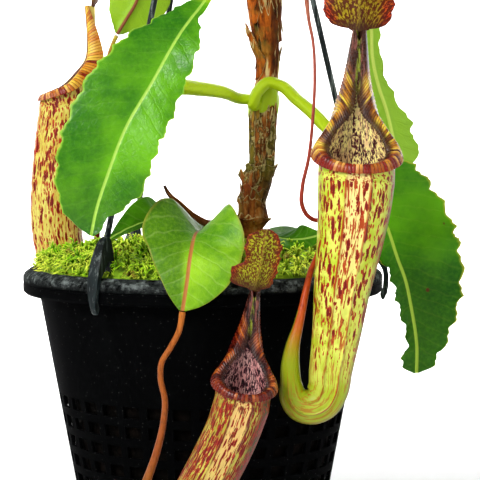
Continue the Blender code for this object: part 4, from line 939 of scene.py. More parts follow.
def shell(points, faces, outer, inner, rows, columns):
    """Adds a thin sheet with an edge: two grids of points and the faces over and round them."""
    base, each = len(points), rows * columns
    points += outer + inner
    grid = np.arange(each).reshape(rows, columns)
    for r in range(rows - 1):
        for c in range(columns - 1):
            face = [grid[r, c], grid[r, c + 1], grid[r + 1, c + 1], grid[r + 1, c]]
            faces.append([base + i for i in face])
            faces.append([base + each + i for i in face[::-1]])
    border = [*grid[0, :-1], *grid[:-1, -1], *grid[-1, :0:-1], *grid[:0:-1, 0]]
    for a, b in zip(border, border[1:] + border[:1]):
        faces.append([base + b, base + a, base + each + a, base + each + b])


def on_bark(height, angle, lift, thick):
    """The outer and inner point of a sheet that lies round the stem."""
    x, y, radius = stem_at(height)
    return [np.array([x, y, height]) + spoke(angle) * (radius + lift - inward) for inward in (0, thick)]


def bark_flakes(look):
    """Old leaf bases and thin strips of bark that peel off the stem."""
    draw = random.Random(21)
    strips = [(*row, 0.6, 14, 28, 0.5) for row in OLD_BASES]
    for _ in range(PEELING_STRIPS):
        strips.append((draw.uniform(162, 318), draw.uniform(5, 17), draw.uniform(0, 360),
                       draw.uniform(18, 55), draw.uniform(0.3, 2.0) * draw.choice((-1, 1)),
                       draw.uniform(0.3, 1.0), 8, 7, 0.3))
    points, faces, furrow_shade_and_tone = [], [], []
    for low, tall, start, wide, peel, tone, rows, columns, thick in strips:
        sheet, marks = [], []
        shape = [draw.uniform(-0.16, 0.16) for _ in range(5)]
        for r in range(rows):
            up = r / (rows - 1)
            ragged = draw.uniform(-0.05, 0.05)
            for c in range(columns):
                along = c / (columns - 1)
                span = along * (1 - 0.3 * abs(2 * up - 1)) + ragged
                crown = np.interp(along * 4, range(5), shape) + 0.12 * math.sin(along * 19 + low)
                height = low + tall * up * (1 + crown) + math.sin(c * 0.9 + low) * 0.5 * (1 - up)
                share = up if peel > 0 else 1 - up
                lift = 0.3 + abs(peel) * share**2.2 + 0.3 * math.sin(span * math.pi)
                sheet.append(on_bark(height, math.radians(start + wide * span), lift, thick))
                marks.append((tone, tone, max(up**6, 0.9 * abs(2 * along - 1) ** 10)))
        shell(points, faces, *map(list, zip(*sheet)), rows, columns)
        furrow_shade_and_tone += marks * 2
    piece(None, points, faces, [look], "bark", {"bark": furrow_shade_and_tone}, name="stem_bark_flakes")


def clasp(look):
    """The green leaf base that wraps the stem where the two lower petioles leave it."""
    rows, columns = 26, 90
    sheet = []
    for up in np.linspace(0, 1, rows):
        for turn in np.linspace(0, 1, columns):
            low = 231.5 + 2.5 * math.cos(turn * 9 + 1) + 1.2 * math.sin(turn * 23)
            top = 243.5 + 2.2 * math.cos((turn - 0.42) * 7) - 5.5 * max(turn - 0.62, 0) * 2
            swell = 0.8 + 0.4 * math.sin(up * math.pi) + 0.4 * up + 0.12 * math.sin(turn * 60)
            angle = math.radians(CLASP_FROM + CLASP_SPAN * turn)
            sheet.append(on_bark(low + (top - low) * up, angle, swell, 0.7))
    points, faces = [], []
    shell(points, faces, *map(list, zip(*sheet)), rows, columns)
    # Marked as a petiole's upper side, beside its midrib.
    marks = {"blade": [(-20, 6, 0)] * len(points), "side": [(1, 1, 1)] * len(points)}
    piece(None, points, faces, [look], "leaf_green", marks, name="stem_green_clasp")


def on_stem(height, direction, out=4.0):
    """Where a leaf's foot meets the stem, and a point straight out from it. direction: degrees from +X."""
    x, y, radius = stem_at(height)
    outward = spoke(math.radians(direction))
    foot = np.array([x, y, height]) + outward * (radius + SEAT_GAP)
    return [foot, foot + outward * out]


# Leaves


def tooth(place):
    """A saw tooth from 0 to 1: a slow rise and a sudden fall."""
    place = place % 1.0
    return np.where(place < 0.7, place / 0.7, (1 - place) / 0.3)


def half_widths(widths, shares, in_blade, petiole, petiole_width):
    """The half width at each station, on side 1 and on side -1."""
    blade = np.clip(in_blade, 0, 1)
    near = np.clip(1 + in_blade * 8, 0, 1)
    narrow = np.interp(shares / max(petiole, 0.001), (0, 1), np.broadcast_to(petiole_width, 2))
    half = {}
    for side, column in ((1, 1), (-1, -1)):
        own = eased(blade, [row[0] for row in widths], [row[column] for row in widths])
        half[side] = np.where(in_blade < 0, narrow + (own[np.argmax(in_blade >= 0)] - narrow) * near**3, own)
    return half


def cut_teeth(width, blade, side, reach, count, depth):
    """The half width without the gaps between the teeth. reach: 0 at the midrib and 1 at the edge."""
    toothed = np.clip((blade - 0.06) * 25, 0, 1) * np.clip((0.98 - blade) * 30, 0, 1)
    big = 1 - tooth(blade * count + (0.4 if side > 0 else 0.0))
    small = 1 - tooth(blade * count * 2.7 + 0.2)
    return width - np.minimum(depth, 0.35 * width) * (big * 0.85 + small * 0.25) * reach**3 * toothed


def leaf(node, look, slot, route, faces, widths, petiole=0.0, petiole_width=2.6, fold=(12, 12), curl=0.0,
         wave=0.0, waves=3, teeth=0, tooth_depth=2.0, stations=180, rib=1.6, edge=0.35, quilt=0.3,
         vein_pitch=VEIN_PITCH):
    """A leaf from its petiole's foot to its tip.

    route: points along the midrib. faces: where the upper side faces at each of them; the last holds on.
    widths: share of the blade's length, and the half width left and right, or one for both.
    petiole: its share of the route. petiole_width: its half width, or that at its foot and at the blade.
    fold: degrees that each half rises, along the blade. curl: how far its edges bend back.
    waves, wave: number and height of the margin's waves. teeth, tooth_depth: number and depth of its teeth.
    rib, edge: thickness. quilt: how far the blade bulges between its side veins.
    """
    shares = np.linspace(0, 1, stations)
    faces = [*faces, *[faces[-1]] * (len(route) - len(faces))]
    path = spline([(*p, *f) for p, f in zip(route, faces)], shares)
    forward = directions(path)
    up = unit(path[:, 3:6] - np.sum(path[:, 3:6] * forward, axis=1, keepdims=True) * forward)
    side = np.cross(forward, up)
    in_blade = (shares - petiole) / (1 - petiole)
    blade = np.clip(in_blade, 0, 1)
    half = half_widths(widths, shares, in_blade, petiole, petiole_width)
    folded = np.radians(np.interp(blade, np.linspace(0, 1, len(fold)), fold))
    length = run(path[:, :3])
    length -= np.interp(petiole, shares, length)
    stalk = np.clip(-in_blade * 10, 0, 1) * np.clip(petiole * 100 - 10, 0, 1)
    top, bottom, marks = [], [], []
    for v in ACROSS:
        s = 1 if v > 0 else -1
        width = cut_teeth(half[s], blade, s, abs(v), teeth, tooth_depth) if teeth else half[s]
        reach = abs(v) * width
        lift = reach * np.sin(folded)
        lift -= curl * v * v * np.sin(math.pi * np.minimum(blade * 1.1, 1)) * width / 20
        lift += wave * v * v * np.sin(2 * math.pi * (waves * blade + 0.27 * s)) * np.minimum(blade * 4, 1)
        bent = (length - 0.95 * reach**0.85) / vein_pitch
        full = np.minimum(blade * 8, 1) * min(abs(v) * 6, 1.0) * (1 - abs(v) ** 6)
        lift += quilt * np.abs(np.sin(math.pi * bent)) * full
        groove = 0.45 * np.exp(-((reach / 0.8) ** 2)) * np.minimum(blade * 6, 1)
        thick = edge + (rib - edge) * np.exp(-((reach / 1.6) ** 2))
        thick += (1.15 * width * math.sqrt(1 - v * v) - thick) * stalk
        round_off = math.sqrt(max(1 - abs(v) ** 12, 0.0)) * 0.85 + 0.15
        thick *= round_off * (1 - stalk) + stalk
        base = path[:, :3] + side * (s * reach * np.cos(folded))[:, None] + up * (lift * (1 - stalk))[:, None]
        top.append(base + up * (thick * 0.5 - groove)[:, None])
        bottom.append(base - up * thick[:, None])
        marks.append(np.stack([length, s * reach, np.full(stations, v)], 1))
    points, quads = loft(np.stack(top + bottom[::-1], 1), blade=True)
    upper = np.ones((stations, 2 * len(ACROSS), 3))
    upper[:, len(ACROSS):] = -1
    marks = {"blade": np.stack(marks + marks[::-1], 1), "side": upper}
    piece(node, points, quads, [look], slot, marks, flat_above=70)


# Pitchers


def pitcher_axes(up, facing):
    """Rows that point sideways, backwards and along the tube at its mouth."""
    up = unit(up)
    front = unit(facing - np.dot(facing, up) * up)
    return np.array([np.cross(front, up), -front, up])


def both_sides(half, spine, scale):
    half = np.asarray(half)
    return np.array([*half, np.array(spine) * scale, *(half[:0:-1] * (-1, 1, 1))])


def split(route, first):
    """Where the tendril ends and the tube begins, as shares of the route's length."""
    along = run(np.array(route)[:, :3])
    return (along[first] - CLEAR / 2) / along[-1], (along[first] + CLEAR / 2) / along[-1]


def tube_rings(path, side, back, around):
    rings = round_rings(path, around, -back, from_end=True)
    if np.dot(rings[-1][1] - rings[-1][0], side) < 0:
        rings = rings[:, np.r_[0, around - 1:0:-1]]
    return rings


def mouth_inside(places, scale):
    """The inner side of the mouth's edge, which closes to a point where the neck begins."""
    points = []
    for place, (x, y, z) in zip(places, by_index(MOUTH_EDGE, places)):
        if place < NECK_FROM:
            inward = unit((x, min(y, 0.0) if abs(x) + abs(min(y, 0.0)) > 0 else -1.0, 0.0)) * WALL
            points.append(np.array((x, y, z)) * scale - inward)
            continue
        left = 1 - (place - NECK_FROM) / (len(MOUTH_EDGE) - NECK_FROM)
        points.append((np.array(MOUTH_INSIDE_APEX) + (5.5 * left, 0.0, -2.5 * left**2)) * scale)
    return points


def collar(low, high, share):
    """A ring between the round tube and the mouth's edge, carried round the tube's axis."""
    count = len(low)
    sides = np.where(np.arange(count) <= count // 2, 1.0, -1.0)
    turns = [np.arctan2(np.abs(ring[:, 0]), -ring[:, 1]) for ring in (low, high)]
    reaches = [np.hypot(ring[:, 0], ring[:, 1]) for ring in (low, high)]
    turn = turns[0] + (turns[1] - turns[0]) * share
    reach = reaches[0] + (reaches[1] - reaches[0]) * share**4
    height = low[:, 2] + (high[:, 2] - low[:, 2]) * share
    return np.stack([sides * reach * np.sin(turn), -reach * np.cos(turn), height], axis=1)


def pitcher(tag, looks, route, first, origin, axes, scale):
    """A hollow tube with two low wings that ends in the mouth's edge, with a closed neck behind it."""
    side, back, up = axes
    half_around, stations = 72, 150
    around = 2 * half_around
    whole = [*route, (*(origin + up * COLLAR_FOOT * scale), TUBE_TOP_RADIUS * scale)]
    start = split(whole, first)[1]
    shares = np.linspace(0, 1, stations) ** 1.1
    path = spline(whole, start + (1 - start) * shares)
    outer = tube_rings(path, side, back, around)
    signed = (np.arange(around) / around * 360 + 180) % 360 - 180
    ridge = np.exp(-(((np.abs(signed) - WING_ANGLE) / 3.0) ** 2))
    for i, ring in enumerate(outer):
        rise = WING_RISE * scale * min(max((shares[i] - 0.18) * 5, 0.0), 1.0)
        ring += unit(ring - path[i, :3]) * (ridge * rise * 1.25 * (1 + 0.1 * math.sin(i * 0.9)))[:, None]
    narrow = path.copy()
    narrow[:, 3] = np.maximum(path[:, 3] - WALL, 0.4)
    inner = tube_rings(narrow, side, back, around)
    places = np.linspace(0, len(MOUTH_EDGE) - 1.0, half_around)
    edge = both_sides(by_index(MOUTH_EDGE, places) * scale, NECK_SPINE, scale)
    inner_edge = both_sides(mouth_inside(places, scale), MOUTH_INSIDE_APEX, scale)
    low, low_inside = ((rings[-1] - origin) @ axes.T for rings in (outer, inner))
    steps = np.linspace(0, 1, 22)[1:-1]
    collars = [collar(low, edge, share) for share in steps] + [edge]
    inside = [inner_edge] + [collar(low_inside, inner_edge, share) for share in steps[::-2]]
    rings = [*outer, *(origin + ring @ axes for ring in collars)]
    outside_count = len(rings)
    rings += [origin + ring @ axes for ring in inside] + [*inner[:int(stations * 0.4):-3]]
    rings = np.array(rings)
    middles = rings.mean(axis=1)
    middles[outside_count - 1] = middles[outside_count - 2] + up
    length = run(middles)
    girth = np.concatenate([path[:, 3], np.full(len(rings) - stations, path[-1, 3])])
    angle = np.arange(around) / around * 2 * math.pi
    reach = np.minimum(length / length[stations - 1], 1.0)
    grid = np.ones((len(rings), around))
    tube = [np.outer(girth, np.cos(angle)), np.outer(girth, np.sin(angle)), grid * length[:, None]]
    where = [grid * reach[:, None], grid * signed, grid]
    marks = {"tube": np.stack(tube, 2), "where": np.stack(where, 2)}
    points, faces = loft(rings)
    face_looks = np.zeros(len(faces), int)
    face_looks[(outside_count - 1) * around:] = 1
    face_looks[-2] = 0
    piece("pitcher_" + tag, points, faces, looks, "pitcher_wall", marks, face_looks, flat_above=70)


def lip_axes(edge, axes, origin):
    """At each point of the mouth's edge: outward across the lip, and up through it."""
    side, back, up = axes
    rows = []
    for point, forward in zip(edge, directions(edge)):
        away = point - origin
        outward = side * np.dot(away, side) * 1.6 + back * min(np.dot(away, back), 0.0)
        outward = unit(outward - np.dot(outward, forward) * forward)
        through = unit(np.cross(forward, outward))
        rows.append([*outward, *(through if np.dot(through, up - 0.6 * back) >= 0 else -through)])
    return np.array(rows)


def peristome(tag, look, ribs, origin, axes, scale, steps=6):
    """The ribbed lip round the mouth and up both sides of the neck, where its ribs slant up outwards."""
    rows = np.linspace(0, len(MOUTH_EDGE) - 1.0, 400)
    lengths = run(by_index(MOUTH_EDGE, rows))
    signed = np.linspace(-lengths[-1], lengths[-1], ribs * steps + 1)
    places = np.interp(np.abs(signed), lengths, rows)
    local = by_index(MOUTH_EDGE, places)
    local[:, 0] *= np.sign(signed)
    edge = origin + (local @ axes) * scale
    sizes = by_index(np.array([LIP_HALF_WIDTHS, LIP_HALF_THICKNESS, LIP_LIFT, LIP_ROLL]).T, places) * scale
    rows = np.concatenate([edge, lip_axes(edge, axes, origin), sizes], axis=1)
    slant = np.interp(places, [3, 5, 7, 9], [0.0, 1.2, 4.0, 5.0]) * np.sign(signed) / (signed[1] - signed[0])
    draw = random.Random(5)
    tall = np.array([draw.uniform(0.75, 1.25) for _ in range(ribs + 1)])
    number = np.arange(len(signed))
    rib_place = number / steps
    plain = 1 - np.clip((places - 7.9) * 2, 0, 1) * 0.8
    crest = 1 - (1 - np.abs(np.sin(math.pi * rib_place)) ** 0.7) * plain
    height = 0.45 * min(scale * 1.1, 1.0) * tall[rib_place.astype(int)]
    rings, lip = [], []
    for across, above in closed_curve(LIP_SECTION, 28):
        shifted = np.clip(number + slant * across, 0, len(signed) - 1)
        at = np.array([np.interp(shifted, number, column) for column in rows.T]).T
        width, thick, lift, roll = at[:, 9:].T
        rise = above * thick - height * (1 - crest) * max(above + 0.35, 0.0) * 0.9
        rise -= roll * (max(across - LIP_ROLL_FROM, 0.0) / (1 - LIP_ROLL_FROM)) ** 1.5
        rise += thick + lift + CLEAR
        reach = across * width
        if across < -0.7:
            reach -= (0.9 * crest - 0.4) * height * 2.0 * (-across - 0.7) / 0.3
        if across > 0.85:
            reach -= (1 - crest) * height * 1.2
        rings.append(at[:, :3] + unit(at[:, 3:6]) * reach[:, None] + unit(at[:, 6:9]) * rise[:, None])
        lip.append(np.stack([rib_place, np.full(len(signed), across), signed / lengths[-1]], 1))
    piece("peristome_" + tag, *loft(np.stack(rings, 1)), [look], "lip_red", {"lip": np.stack(lip, 1)})


def lid(tag, look, above, size, widths, origin, axes, scale):
    """The lid. Its foot is sunk a little into the neck, so that no line of light shows between the two."""
    foot = origin + np.array(LID_FOOT) * scale @ axes + axes[2] * SEAT_GAP
    route = [foot - axes[2] * 1.0, foot + axes[2] * 3.0, *above]
    shares = [(u, left * size, right * size) for u, left, right in widths]
    leaf("lid_" + tag, look, "lid_mottled", route, [axes[1] + (0, 0, 0.1)], shares, petiole=0.03,
         petiole_width=1.4, fold=(8, 4), wave=0.9, waves=2.5, teeth=5, tooth_depth=1.2, stations=110,
         rib=1.4, edge=0.45, quilt=0.35, vein_pitch=4.0)


def tendril(tag, look, route, end):
    sides, stations = 16, 220
    path = spline(route, np.linspace(0, end, stations))
    share = np.repeat(np.linspace(0, 1, stations), sides)
    along = np.stack([share, share, share], 1)
    piece("tendril_" + tag, *loft(round_rings(path, sides)), [look], "tendril_red", {"along": along})


# The plant's own leaves and pitchers, with the routes of their solids


def leaves(green, pale, bright_lime, coarse, dry, folded, shaded):
    leaf("leaf_large_left", green, "leaf_green",
         [*on_stem(312, -104), (14, -40, 307), (3, -68, 285), (-9, -82, 268), (-23, -90, 243),
          (-34, -93, 224), (-43, -95, 201), (-49, -96, 182), (-51, -96, 172)],
         [(0, 0.2, 1), (0, 0.1, 1), (-0.3, -0.4, 1), (-0.2, -1, 0.4), (-0.1, -1, 0.3), (0, -1, 0.2),
          (0, -1, 0.1), (0, -1, 0)],
         [(0, 3.5, 2.8), (0.1, 10, 4), (0.14, 13, 8), (0.19, 16, 12.5), (0.29, 23, 15.5), (0.41, 27, 16.8),
          (0.5, 29.3, 19), (0.68, 28.5, 20), (0.78, 26.5, 20), (0.87, 22.5, 14), (0.94, 15.5, 6.8),
          (0.98, 7, 4), (1, 1.2)],
         petiole=0.36, fold=(14, 8), curl=1.5, wave=1.6, waves=2.5, teeth=12, tooth_depth=2.4, stations=260,
         vein_pitch=9.0, quilt=0.42)
    leaf("leaf_back_left", bright_lime, "leaf_underside",
         [*on_stem(331, 165), (8, 3, 350), (-8, 3, 358), (-20, 3, 347), (-28, 4, 325), (-33, 5, 300),
          (-35, 5, 291), (-41, 5, 280.5), (-45.6, 5, 273)],
         [(0, 0, 1), (0, 0.1, 1), (-0.2, 0.3, 1), (0, 0.5, 1), (-0.8, 0.9, 0.5), (-0.5, 1, 0.2),
          (-0.3, 1, 0.1), (-0.2, 1, 0.1)],
         [(0, 3), (0.12, 7), (0.3, 16), (0.5, 20), (0.74, 18.5), (0.89, 11), (0.96, 5), (1, 1.2)],
         petiole=0.42, fold=(14, 8), wave=1.5, teeth=6, tooth_depth=1.5)
    leaf("leaf_low_left", green, "leaf_green",
         [*on_stem(239, 190), (12, -10, 242), (-1, -18, 244), (-11, -24, 245), (-26, -32, 240),
          (-41, -40, 226), (-52, -44, 206), (-56, -45, 192)],
         [(0, -0.6, 1), (0, -0.9, 0.8), (0, -1, 0.6), (0, -1, 0.7), (-0.1, -0.9, 0.9), (-0.4, -0.8, 0.9),
          (-0.7, -0.8, 0.6), (-0.6, -0.8, 0.3), (-0.6, -0.8, 0.2)],
         [(0, 4), (0.15, 8), (0.35, 13), (0.6, 14.5), (0.8, 11), (0.92, 6), (1, 1.2)],
         petiole=0.4, petiole_width=(3.1, 4.8), fold=(20, 10), wave=1.2, teeth=6, tooth_depth=1.2)
    leaf("leaf_hanging_right", pale, "leaf_underside",
         [*on_stem(330, 30), (48, 10, 336), (62, 15, 338), (76, 17, 328), (84, 17.5, 310), (88.5, 17, 292),
          (90, 16, 280), (91, 16, 260), (94, 16, 246.5), (98.5, 16, 233), (102.5, 16, 217), (105.5, 15, 206),
          (108, 14, 196)],
         [(0, 0, 1), (-0.1, 0.1, 1), (-0.2, 0.3, 1), (0.1, 0.5, 1), (0.7, 0.8, 0.6), (0.8, 1, 0.3),
          (0.5, 1, 0.1), (0.3, 1, 0), (0.2, 1, 0)],
         [(0, 3), (0.16, 4), (0.26, 4.6, 5), (0.43, 5.6, 6), (0.55, 6.2, 7), (0.64, 8), (0.72, 11.5, 9),
          (0.82, 14, 9), (0.91, 12, 8), (0.97, 6, 4), (1, 1.2)],
         petiole=0.36, fold=(10, 6), wave=0.8, teeth=7, tooth_depth=4.4)
    leaf("leaf_low_right", coarse, "leaf_green",
         [*on_stem(236, -122), (29, -12.2, 243.5), (34, -12, 247.5), (41, -12.5, 246), (49, -18, 239),
          (57, -22, 232), (64, -25, 224), (74, -28, 211), (85, -30, 192), (95, -32, 172), (100, -34, 157),
          (104, -35, 146), (107, -36, 132), (110, -36, 112), (110, -36, 98)],
         [(-0.4, -0.2, 1), (-0.6, -0.3, 0.8), (-0.8, -0.6, 0.6), (-0.2, -0.6, 1), (0.2, -0.6, 1),
          (0.4, -0.5, 1), (0.4, -0.6, 0.9), (0.4, -0.8, 0.6), (0.3, -1, 0.4), (0.2, -1, 0.3),
          (0.1, -1, 0.2), (0, -1, 0.1), (0, -1, 0), (0, -1, 0), (0, -1, 0), (0, -1, -0.2)],
         [(0, 4), (0.1, 8, 14.5), (0.18, 13, 24.5), (0.255, 15, 31), (0.35, 15, 33.5), (0.425, 13, 34.5),
          (0.5, 10.5, 34.5), (0.57, 8.5, 34), (0.63, 8.5, 32), (0.735, 8, 27.5), (0.82, 6, 21.5),
          (0.885, 6, 16.5), (0.93, 9, 13), (0.97, 8.5, 9.5), (1, 1.5, 2)],
         petiole=0.36, petiole_width=(3.3, 3.8), fold=(12, 8), curl=1.5, wave=1.8, waves=3, teeth=12,
         tooth_depth=3.6, stations=280, vein_pitch=9.0)
    leaf("leaf_crown_front", green, "leaf_green",
         [*on_stem(334, -90), (37, -20, 350), (44, -38, 354), (50, -54, 337), (53, -63, 310), (52, -68, 286)],
         [(0, 0, 1), (0, 0, 1), (0, 0, 1), (0.1, -0.4, 1), (0.1, -1, 0.5), (0, -1, 0.2), (0, -1, 0.1)],
         [(0, 3), (0.15, 8), (0.35, 12.5), (0.6, 12.5), (0.82, 8.5), (0.94, 4), (1, 1.2)],
         petiole=0.25, fold=(18, 10), wave=1.0, teeth=6, tooth_depth=1.2)
    leaf("leaf_crown_young", bright_lime, "leaf_green",
         [(31, 0, 346.5), (33, 3, 362), (37, 8, 380), (43, 14, 398)],
         [(0.4, 1, 0.2), (0.4, 1, 0.2), (0.5, 1, -0.1), (0.6, 1, -0.3)],
         [(0, 2.4), (0.2, 5.5), (0.5, 8), (0.8, 5.5), (1, 1)], fold=(35, 20), stations=110)
    leaf("leaf_front_folded", folded, "leaf_green",
         [*on_stem(164, -103), (12, -32, 167), (3, -60, 169.5), (-2, -84, 171), (-4, -98, 162),
          (-5.5, -102.5, 150), (-7.5, -104, 137)],
         [(0, 0, 1), (0, 0, 1), (0, 0, 1), (0, 0, 1), (0, -0.7, 1), (0, -1, 0.3), (0, -1, 0.1), (0, -1, 0)],
         [(0, 3.5), (0.14, 7, 9), (0.26, 12, 16), (0.36, 18, 20), (0.46, 24.5, 24), (0.55, 25.5),
          (0.66, 20.5, 24.5), (0.8, 14, 20.5), (0.9, 9, 14), (0.965, 4.5, 7.5), (1, 1.5)],
         petiole=0.36, fold=(60, 58, 48, 8, 0, 0), wave=0.8, waves=2, vein_pitch=8.0)
    leaf("leaf_basal_left", shaded, "leaf_green",
         [*on_stem(166.5, 199), (-1, -22, 171), (-18, -36, 174), (-27, -42, 175.5), (-36, -46, 172.5),
          (-46, -50, 167)],
         [(0, 0, 1), (0, 0, 1), (0, -0.2, 1), (0, -0.4, 1), (0, -0.6, 1), (-0.2, -0.7, 1), (-0.4, -0.7, 0.8)],
         [(0, 2.5), (0.15, 8), (0.3, 15, 11), (0.45, 17, 11.5), (0.6, 13, 9), (0.8, 7, 6), (1, 1)],
         petiole=0.42, petiole_width=2.2, fold=(30, 20))
    leaf("leaf_basal_right", shaded, "leaf_green",
         [*on_stem(165, -52), (38, -18, 166), (46, -27, 165.5), (54, -32, 166.5), (62, -34, 169)],
         [(0, 0, 1), (0, 0, 1), (0, -0.2, 1), (-0.1, -0.7, 1), (-0.1, -1, 0.8), (-0.1, -1, 0.6)],
         [(0, 3), (0.25, 8), (0.55, 10), (0.8, 7), (1, 1)],
         petiole=0.15, petiole_width=2.2, fold=(20, 10), stations=120)
    leaf("leaf_basal_back", shaded, "leaf_green",
         [*on_stem(165, 55), (38, 16, 165), (46, 26, 165), (56, 34, 164), (66, 40, 162)],
         [(0, 0, 1), (0, 0, 1), (0, -0.2, 1), (0, -0.4, 1)],
         [(0, 3), (0.25, 8), (0.55, 9), (0.8, 6), (1, 1)],
         petiole=0.15, petiole_width=2.2, fold=(20, 10), stations=120)
    leaf("leaf_dry", dry, "dead_leaf",
         [*on_stem(171, -142, 2.5), (10, -22, 172.5), (1, -36, 173.5), (-5, -43, 177.5), (-11.6, -48, 185),
          (-16.5, -51, 190.5), (-18.1, -52, 194.5)],
         [(0, 0, 1), (0, 0, 1), (0.1, -0.5, 1), (0.4, -0.7, 0.8), (0.6, -0.7, 0.6), (0.7, -0.7, 0.5),
          (0.8, -0.6, 0.5)],
         [(0, 2), (0.3, 3.4), (0.6, 3.6), (0.85, 1.9), (1, 0.6)], fold=(50, 60), stations=110, rib=1.0)


def pitchers():
    """Three pitchers, each with its lip, lid and tendril in its own colours."""
    red, dark_red = srgb(160, 44, 12), srgb(130, 24, 10)
    # The sixth and seventh values are the painted light and shade on the tube's right side, and the angle
    # where it begins.
    outsides = {
        "main": (srgb(204, 212, 88), srgb(170, 190, 40), srgb(132, 146, 8), srgb(174, 74, 20),
                 srgb(226, 208, 130), srgb(96, 108, 16), 46, red, srgb(160, 60, 14),
                 (2.1, 7.6), 0.245, 0.1, 0.6),
        "left": (srgb(204, 200, 98), srgb(192, 174, 66), srgb(206, 136, 48), srgb(130, 30, 20),
                 srgb(216, 194, 116), srgb(222, 196, 100), 90, red, srgb(170, 34, 12),
                 (1.9, 7.6), 0.26, 0.3, 1.0),
        "front": (srgb(182, 174, 70), srgb(146, 136, 38), srgb(120, 116, 26), srgb(136, 96, 30),
                  srgb(204, 170, 100), srgb(48, 52, 10), 26, srgb(150, 36, 14), srgb(100, 32, 10),
                  (1.25, 7.0), 0.27, 1.0, 1.0),
    }
    insides = {
        "main": (srgb(255, 240, 150), srgb(124, 44, 54), 246, 0.01),
        "left": (srgb(240, 226, 160), srgb(88, 22, 40), 274),
        "front": (srgb(206, 158, 150), srgb(80, 20, 40), 130, 0.03),
    }
    lips = {
        "main": (srgb(214, 184, 56), srgb(184, 122, 26), srgb(96, 44, 8), srgb(240, 180, 100),
                 dark_red, 0.02),
        "left": (srgb(228, 186, 60), srgb(208, 130, 28), srgb(120, 32, 10), srgb(236, 176, 92),
                 dark_red, -0.08, 1.2),
        "front": (srgb(176, 92, 28), srgb(132, 52, 14), srgb(70, 16, 6), srgb(200, 120, 60),
                  srgb(96, 16, 6), 0.04),
    }
    lids = {
        "main": (srgb(152, 132, 16), srgb(70, 10, 4), srgb(180, 38, 12)),
        "left": (srgb(180, 160, 50), srgb(96, 20, 10), srgb(140, 28, 12)),
        "front": (srgb(160, 166, 26), srgb(84, 20, 8), srgb(160, 36, 10), 1.8),
    }
    tendrils = {
        "main": (srgb(160, 96, 70), srgb(150, 72, 56), srgb(150, 36, 12), srgb(176, 70, 20)),
        "left": (srgb(180, 160, 50), srgb(150, 60, 30), srgb(96, 20, 14), srgb(90, 14, 14)),
        "front": (srgb(176, 100, 30), srgb(156, 82, 22), srgb(140, 68, 20), srgb(150, 96, 30)),
    }
    for tag, (origin, up, facing, scale) in PITCHERS.items():
        route, first = ROUTES[tag], FIRST_OF_PITCHER[tag]
        place = (np.array(origin), pitcher_axes(up, facing), scale)
        end = split([*route, (*origin, 0)], first)[0]
        red_stalk = tendril_look("tendril_" + tag + "_look", *tendrils[tag])
        tendril(tag, red_stalk, [*route, (*origin, 1.0)], end + TENDRIL_INSIDE)
        walls = [pitcher_look("pitcher_" + tag + "_wall", *outsides[tag]),
                 inner_look("pitcher_" + tag + "_inside", *insides[tag])]
        pitcher(tag, walls, route, first, *place)
        peristome(tag, lip_look("lip_" + tag, *lips[tag]), LIP_RIBS[tag], *place)
        widths = LOBED_LID_WIDTHS if tag == "front" else LID_WIDTHS
        lid(tag, lid_look("lid_" + tag + "_look", *lids[tag]), *LIDS[tag], widths, *place)


# Stage, light and camera, in metres

FLOOR_RADIUS = 2.4
FLOOR_BEND = 1.2
FLOOR_SIDES = 96


def stage():
    """A round pale floor that curves up into a wall far from the pot."""
    profile = [(0.02, 0.0), (0.6, 0.0), (1.6, 0.0), (FLOOR_RADIUS, 0.0)]
    for angle in np.linspace(0, math.pi / 2, 12)[1:]:
        profile.append((FLOOR_RADIUS + FLOOR_BEND * math.sin(angle), FLOOR_BEND * (1 - math.cos(angle))))
    profile += [(FLOOR_RADIUS + FLOOR_BEND, 2.6), (FLOOR_RADIUS + FLOOR_BEND, 4.0)]
    spokes = [spoke(angle) for angle in np.arange(FLOOR_SIDES) * 2 * math.pi / FLOOR_SIDES]
    points, faces = loft([[out * radius + (0, 0, z) for out in spokes] for radius, z in profile], ends=False)
    faces.append(list(range(FLOOR_SIDES)))
    mesh = bpy.data.meshes.new("studio_floor")
    mesh.from_pydata(points.tolist(), [], faces)
    look = Look("studio_paper", 0.9)
    tone = look.noise(look.place(), 0.0012)
    mesh.materials.append(look.finish(look.mix(tone, srgb(246, 246, 246), srgb(252, 252, 252))))
    mesh.shade_smooth()
    floor = add_object("studio_floor", mesh)


def area_light(name, power, size, place, target=(0.0, 0.0, 0.2), spread=180):
    light = bpy.data.lights.new(name, "AREA")
    light.energy = power
    light.shape = "DISK"
    light.size = size
    light.spread = math.radians(spread)
    lamp = add_object(name, light)
    lamp.location = place
    lamp.rotation_euler = (Vector(target) - Vector(place)).to_track_quat("-Z", "Y").to_euler()


def lights():
    """A soft key from the upper left, a weak fill, a light from behind and one for the paper alone."""
    area_light("key", 30.0, 0.7, (-0.9, -1.3, 1.15))
    area_light("fill", 4.0, 1.2, (1.5, -1.0, 0.8))
    area_light("rim", 10.0, 0.9, (0.6, 1.6, 1.4))
    area_light("paper", 90.0, 1.6, (0.0, 0.6, 1.9), (0.0, 2.6, 0.2), spread=110)
    world = bpy.data.worlds.new("studio_air")
    world.use_nodes = True
    air = world.node_tree.nodes["Background"].inputs
    air["Color"].default_value = (1.0, 1.0, 1.0, 1.0)
    air["Strength"].default_value = 0.42
    bpy.context.scene.world = world
    bpy.context.scene.view_settings.view_transform = "Standard"


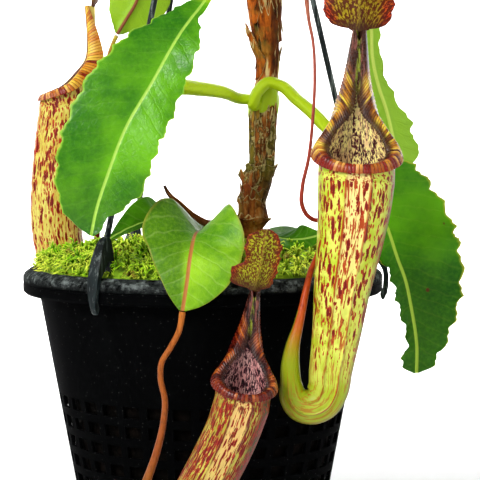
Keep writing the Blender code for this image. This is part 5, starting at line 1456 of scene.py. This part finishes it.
def camera():
    """The photograph's view: level with the pitchers and a little above the pot's rim."""
    focal_pixels, frame_pixels, sensor = 1698, 480, 36.0
    lens = bpy.data.cameras.new("photo_camera")
    lens.sensor_width = sensor
    lens.lens = focal_pixels / frame_pixels * sensor
    lens.clip_end = 20
    made = add_object("photo_camera", lens)
    made.location = (0.0196, -0.9, 0.220)
    made.rotation_euler = (Vector((0.0196, 0, 0.164)) - made.location).to_track_quat("-Z", "Y").to_euler()
    bpy.context.scene.camera = made


def main():
    camera()
    lights()
    stage()
    pot(plastic_look("pot_plastic", (0.0012, 0.0013, 0.0014), srgb(8, 9, 9), 0.55, shine=0.003, dust_and_sheen=0.5))
    slate = plastic_look("strand_plastic", srgb(10, 17, 18), srgb(40, 54, 54), 0.4, shine=0.15, fibres=0.45)
    for tag, direction in STRAND_DIRECTIONS.items():
        strand(tag, direction, slate)
    hanger_hook(slate)
    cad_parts["potting_mix"].material_slots[0].material = mix_look("potting_mix_look")
    moss = moss_look("moss_green", srgb(40, 92, 4))
    moss_bed(moss)
    moss_shoots(moss)
    bark = bark_look("stem_bark_look")
    stem(bark)
    bark_flakes(bark)
    lime = srgb(110, 150, 30)
    green = leaf_look("leaf_upper", srgb(24, 96, 0), srgb(94, 162, 0), srgb(150, 190, 70), lime, 0.3,
                      veins=0.04, rib_half=0.7, margin=srgb(150, 192, 50), shine=0.22,
                      shade_below=(192, 0.6), shade_half=0.25)
    pale = leaf_look("leaf_pale_underside", srgb(104, 146, 12), srgb(142, 182, 20), srgb(176, 196, 84),
                     srgb(120, 160, 50), 0.45, margin=srgb(150, 130, 30))
    # Painted light: a brighter copy of the leaf colours for the leaves lit from behind.
    bright_lime = leaf_look("leaf_backlit", srgb(130, 180, 6), srgb(174, 212, 20), srgb(124, 66, 36), lime, 0.42,
                      margin=srgb(150, 110, 30))
    coarse = leaf_look("leaf_coarse", srgb(34, 104, 0), srgb(88, 160, 0), srgb(160, 190, 60), lime, 0.36,
                       veins=0.06, rib_half=0.8, margin=srgb(180, 180, 50), spots=0.09,
                       shade_below=(152, 0.85))
    folded = leaf_look("leaf_folded", srgb(64, 122, 2), srgb(138, 186, 28), srgb(164, 104, 50),
                       srgb(110, 146, 40), 0.36, veins=0.08, vein_colour=srgb(206, 216, 140),
                       margin=srgb(130, 130, 40), shade_half=0.85)
    dry = leaf_look("leaf_dead", srgb(70, 36, 16), srgb(158, 88, 34), srgb(60, 30, 14), srgb(96, 54, 26),
                    0.8, stalk=srgb(110, 62, 28))
    shaded = leaf_look("leaf_shaded", srgb(18, 64, 0), srgb(70, 128, 6), srgb(140, 172, 70),
                       srgb(110, 140, 40), 0.5, rib_half=0.6, margin=lime, shine=0.05)
    clasp(green)
    leaves(green, pale, bright_lime, coarse, dry, folded, shaded)
    pitchers()


main()
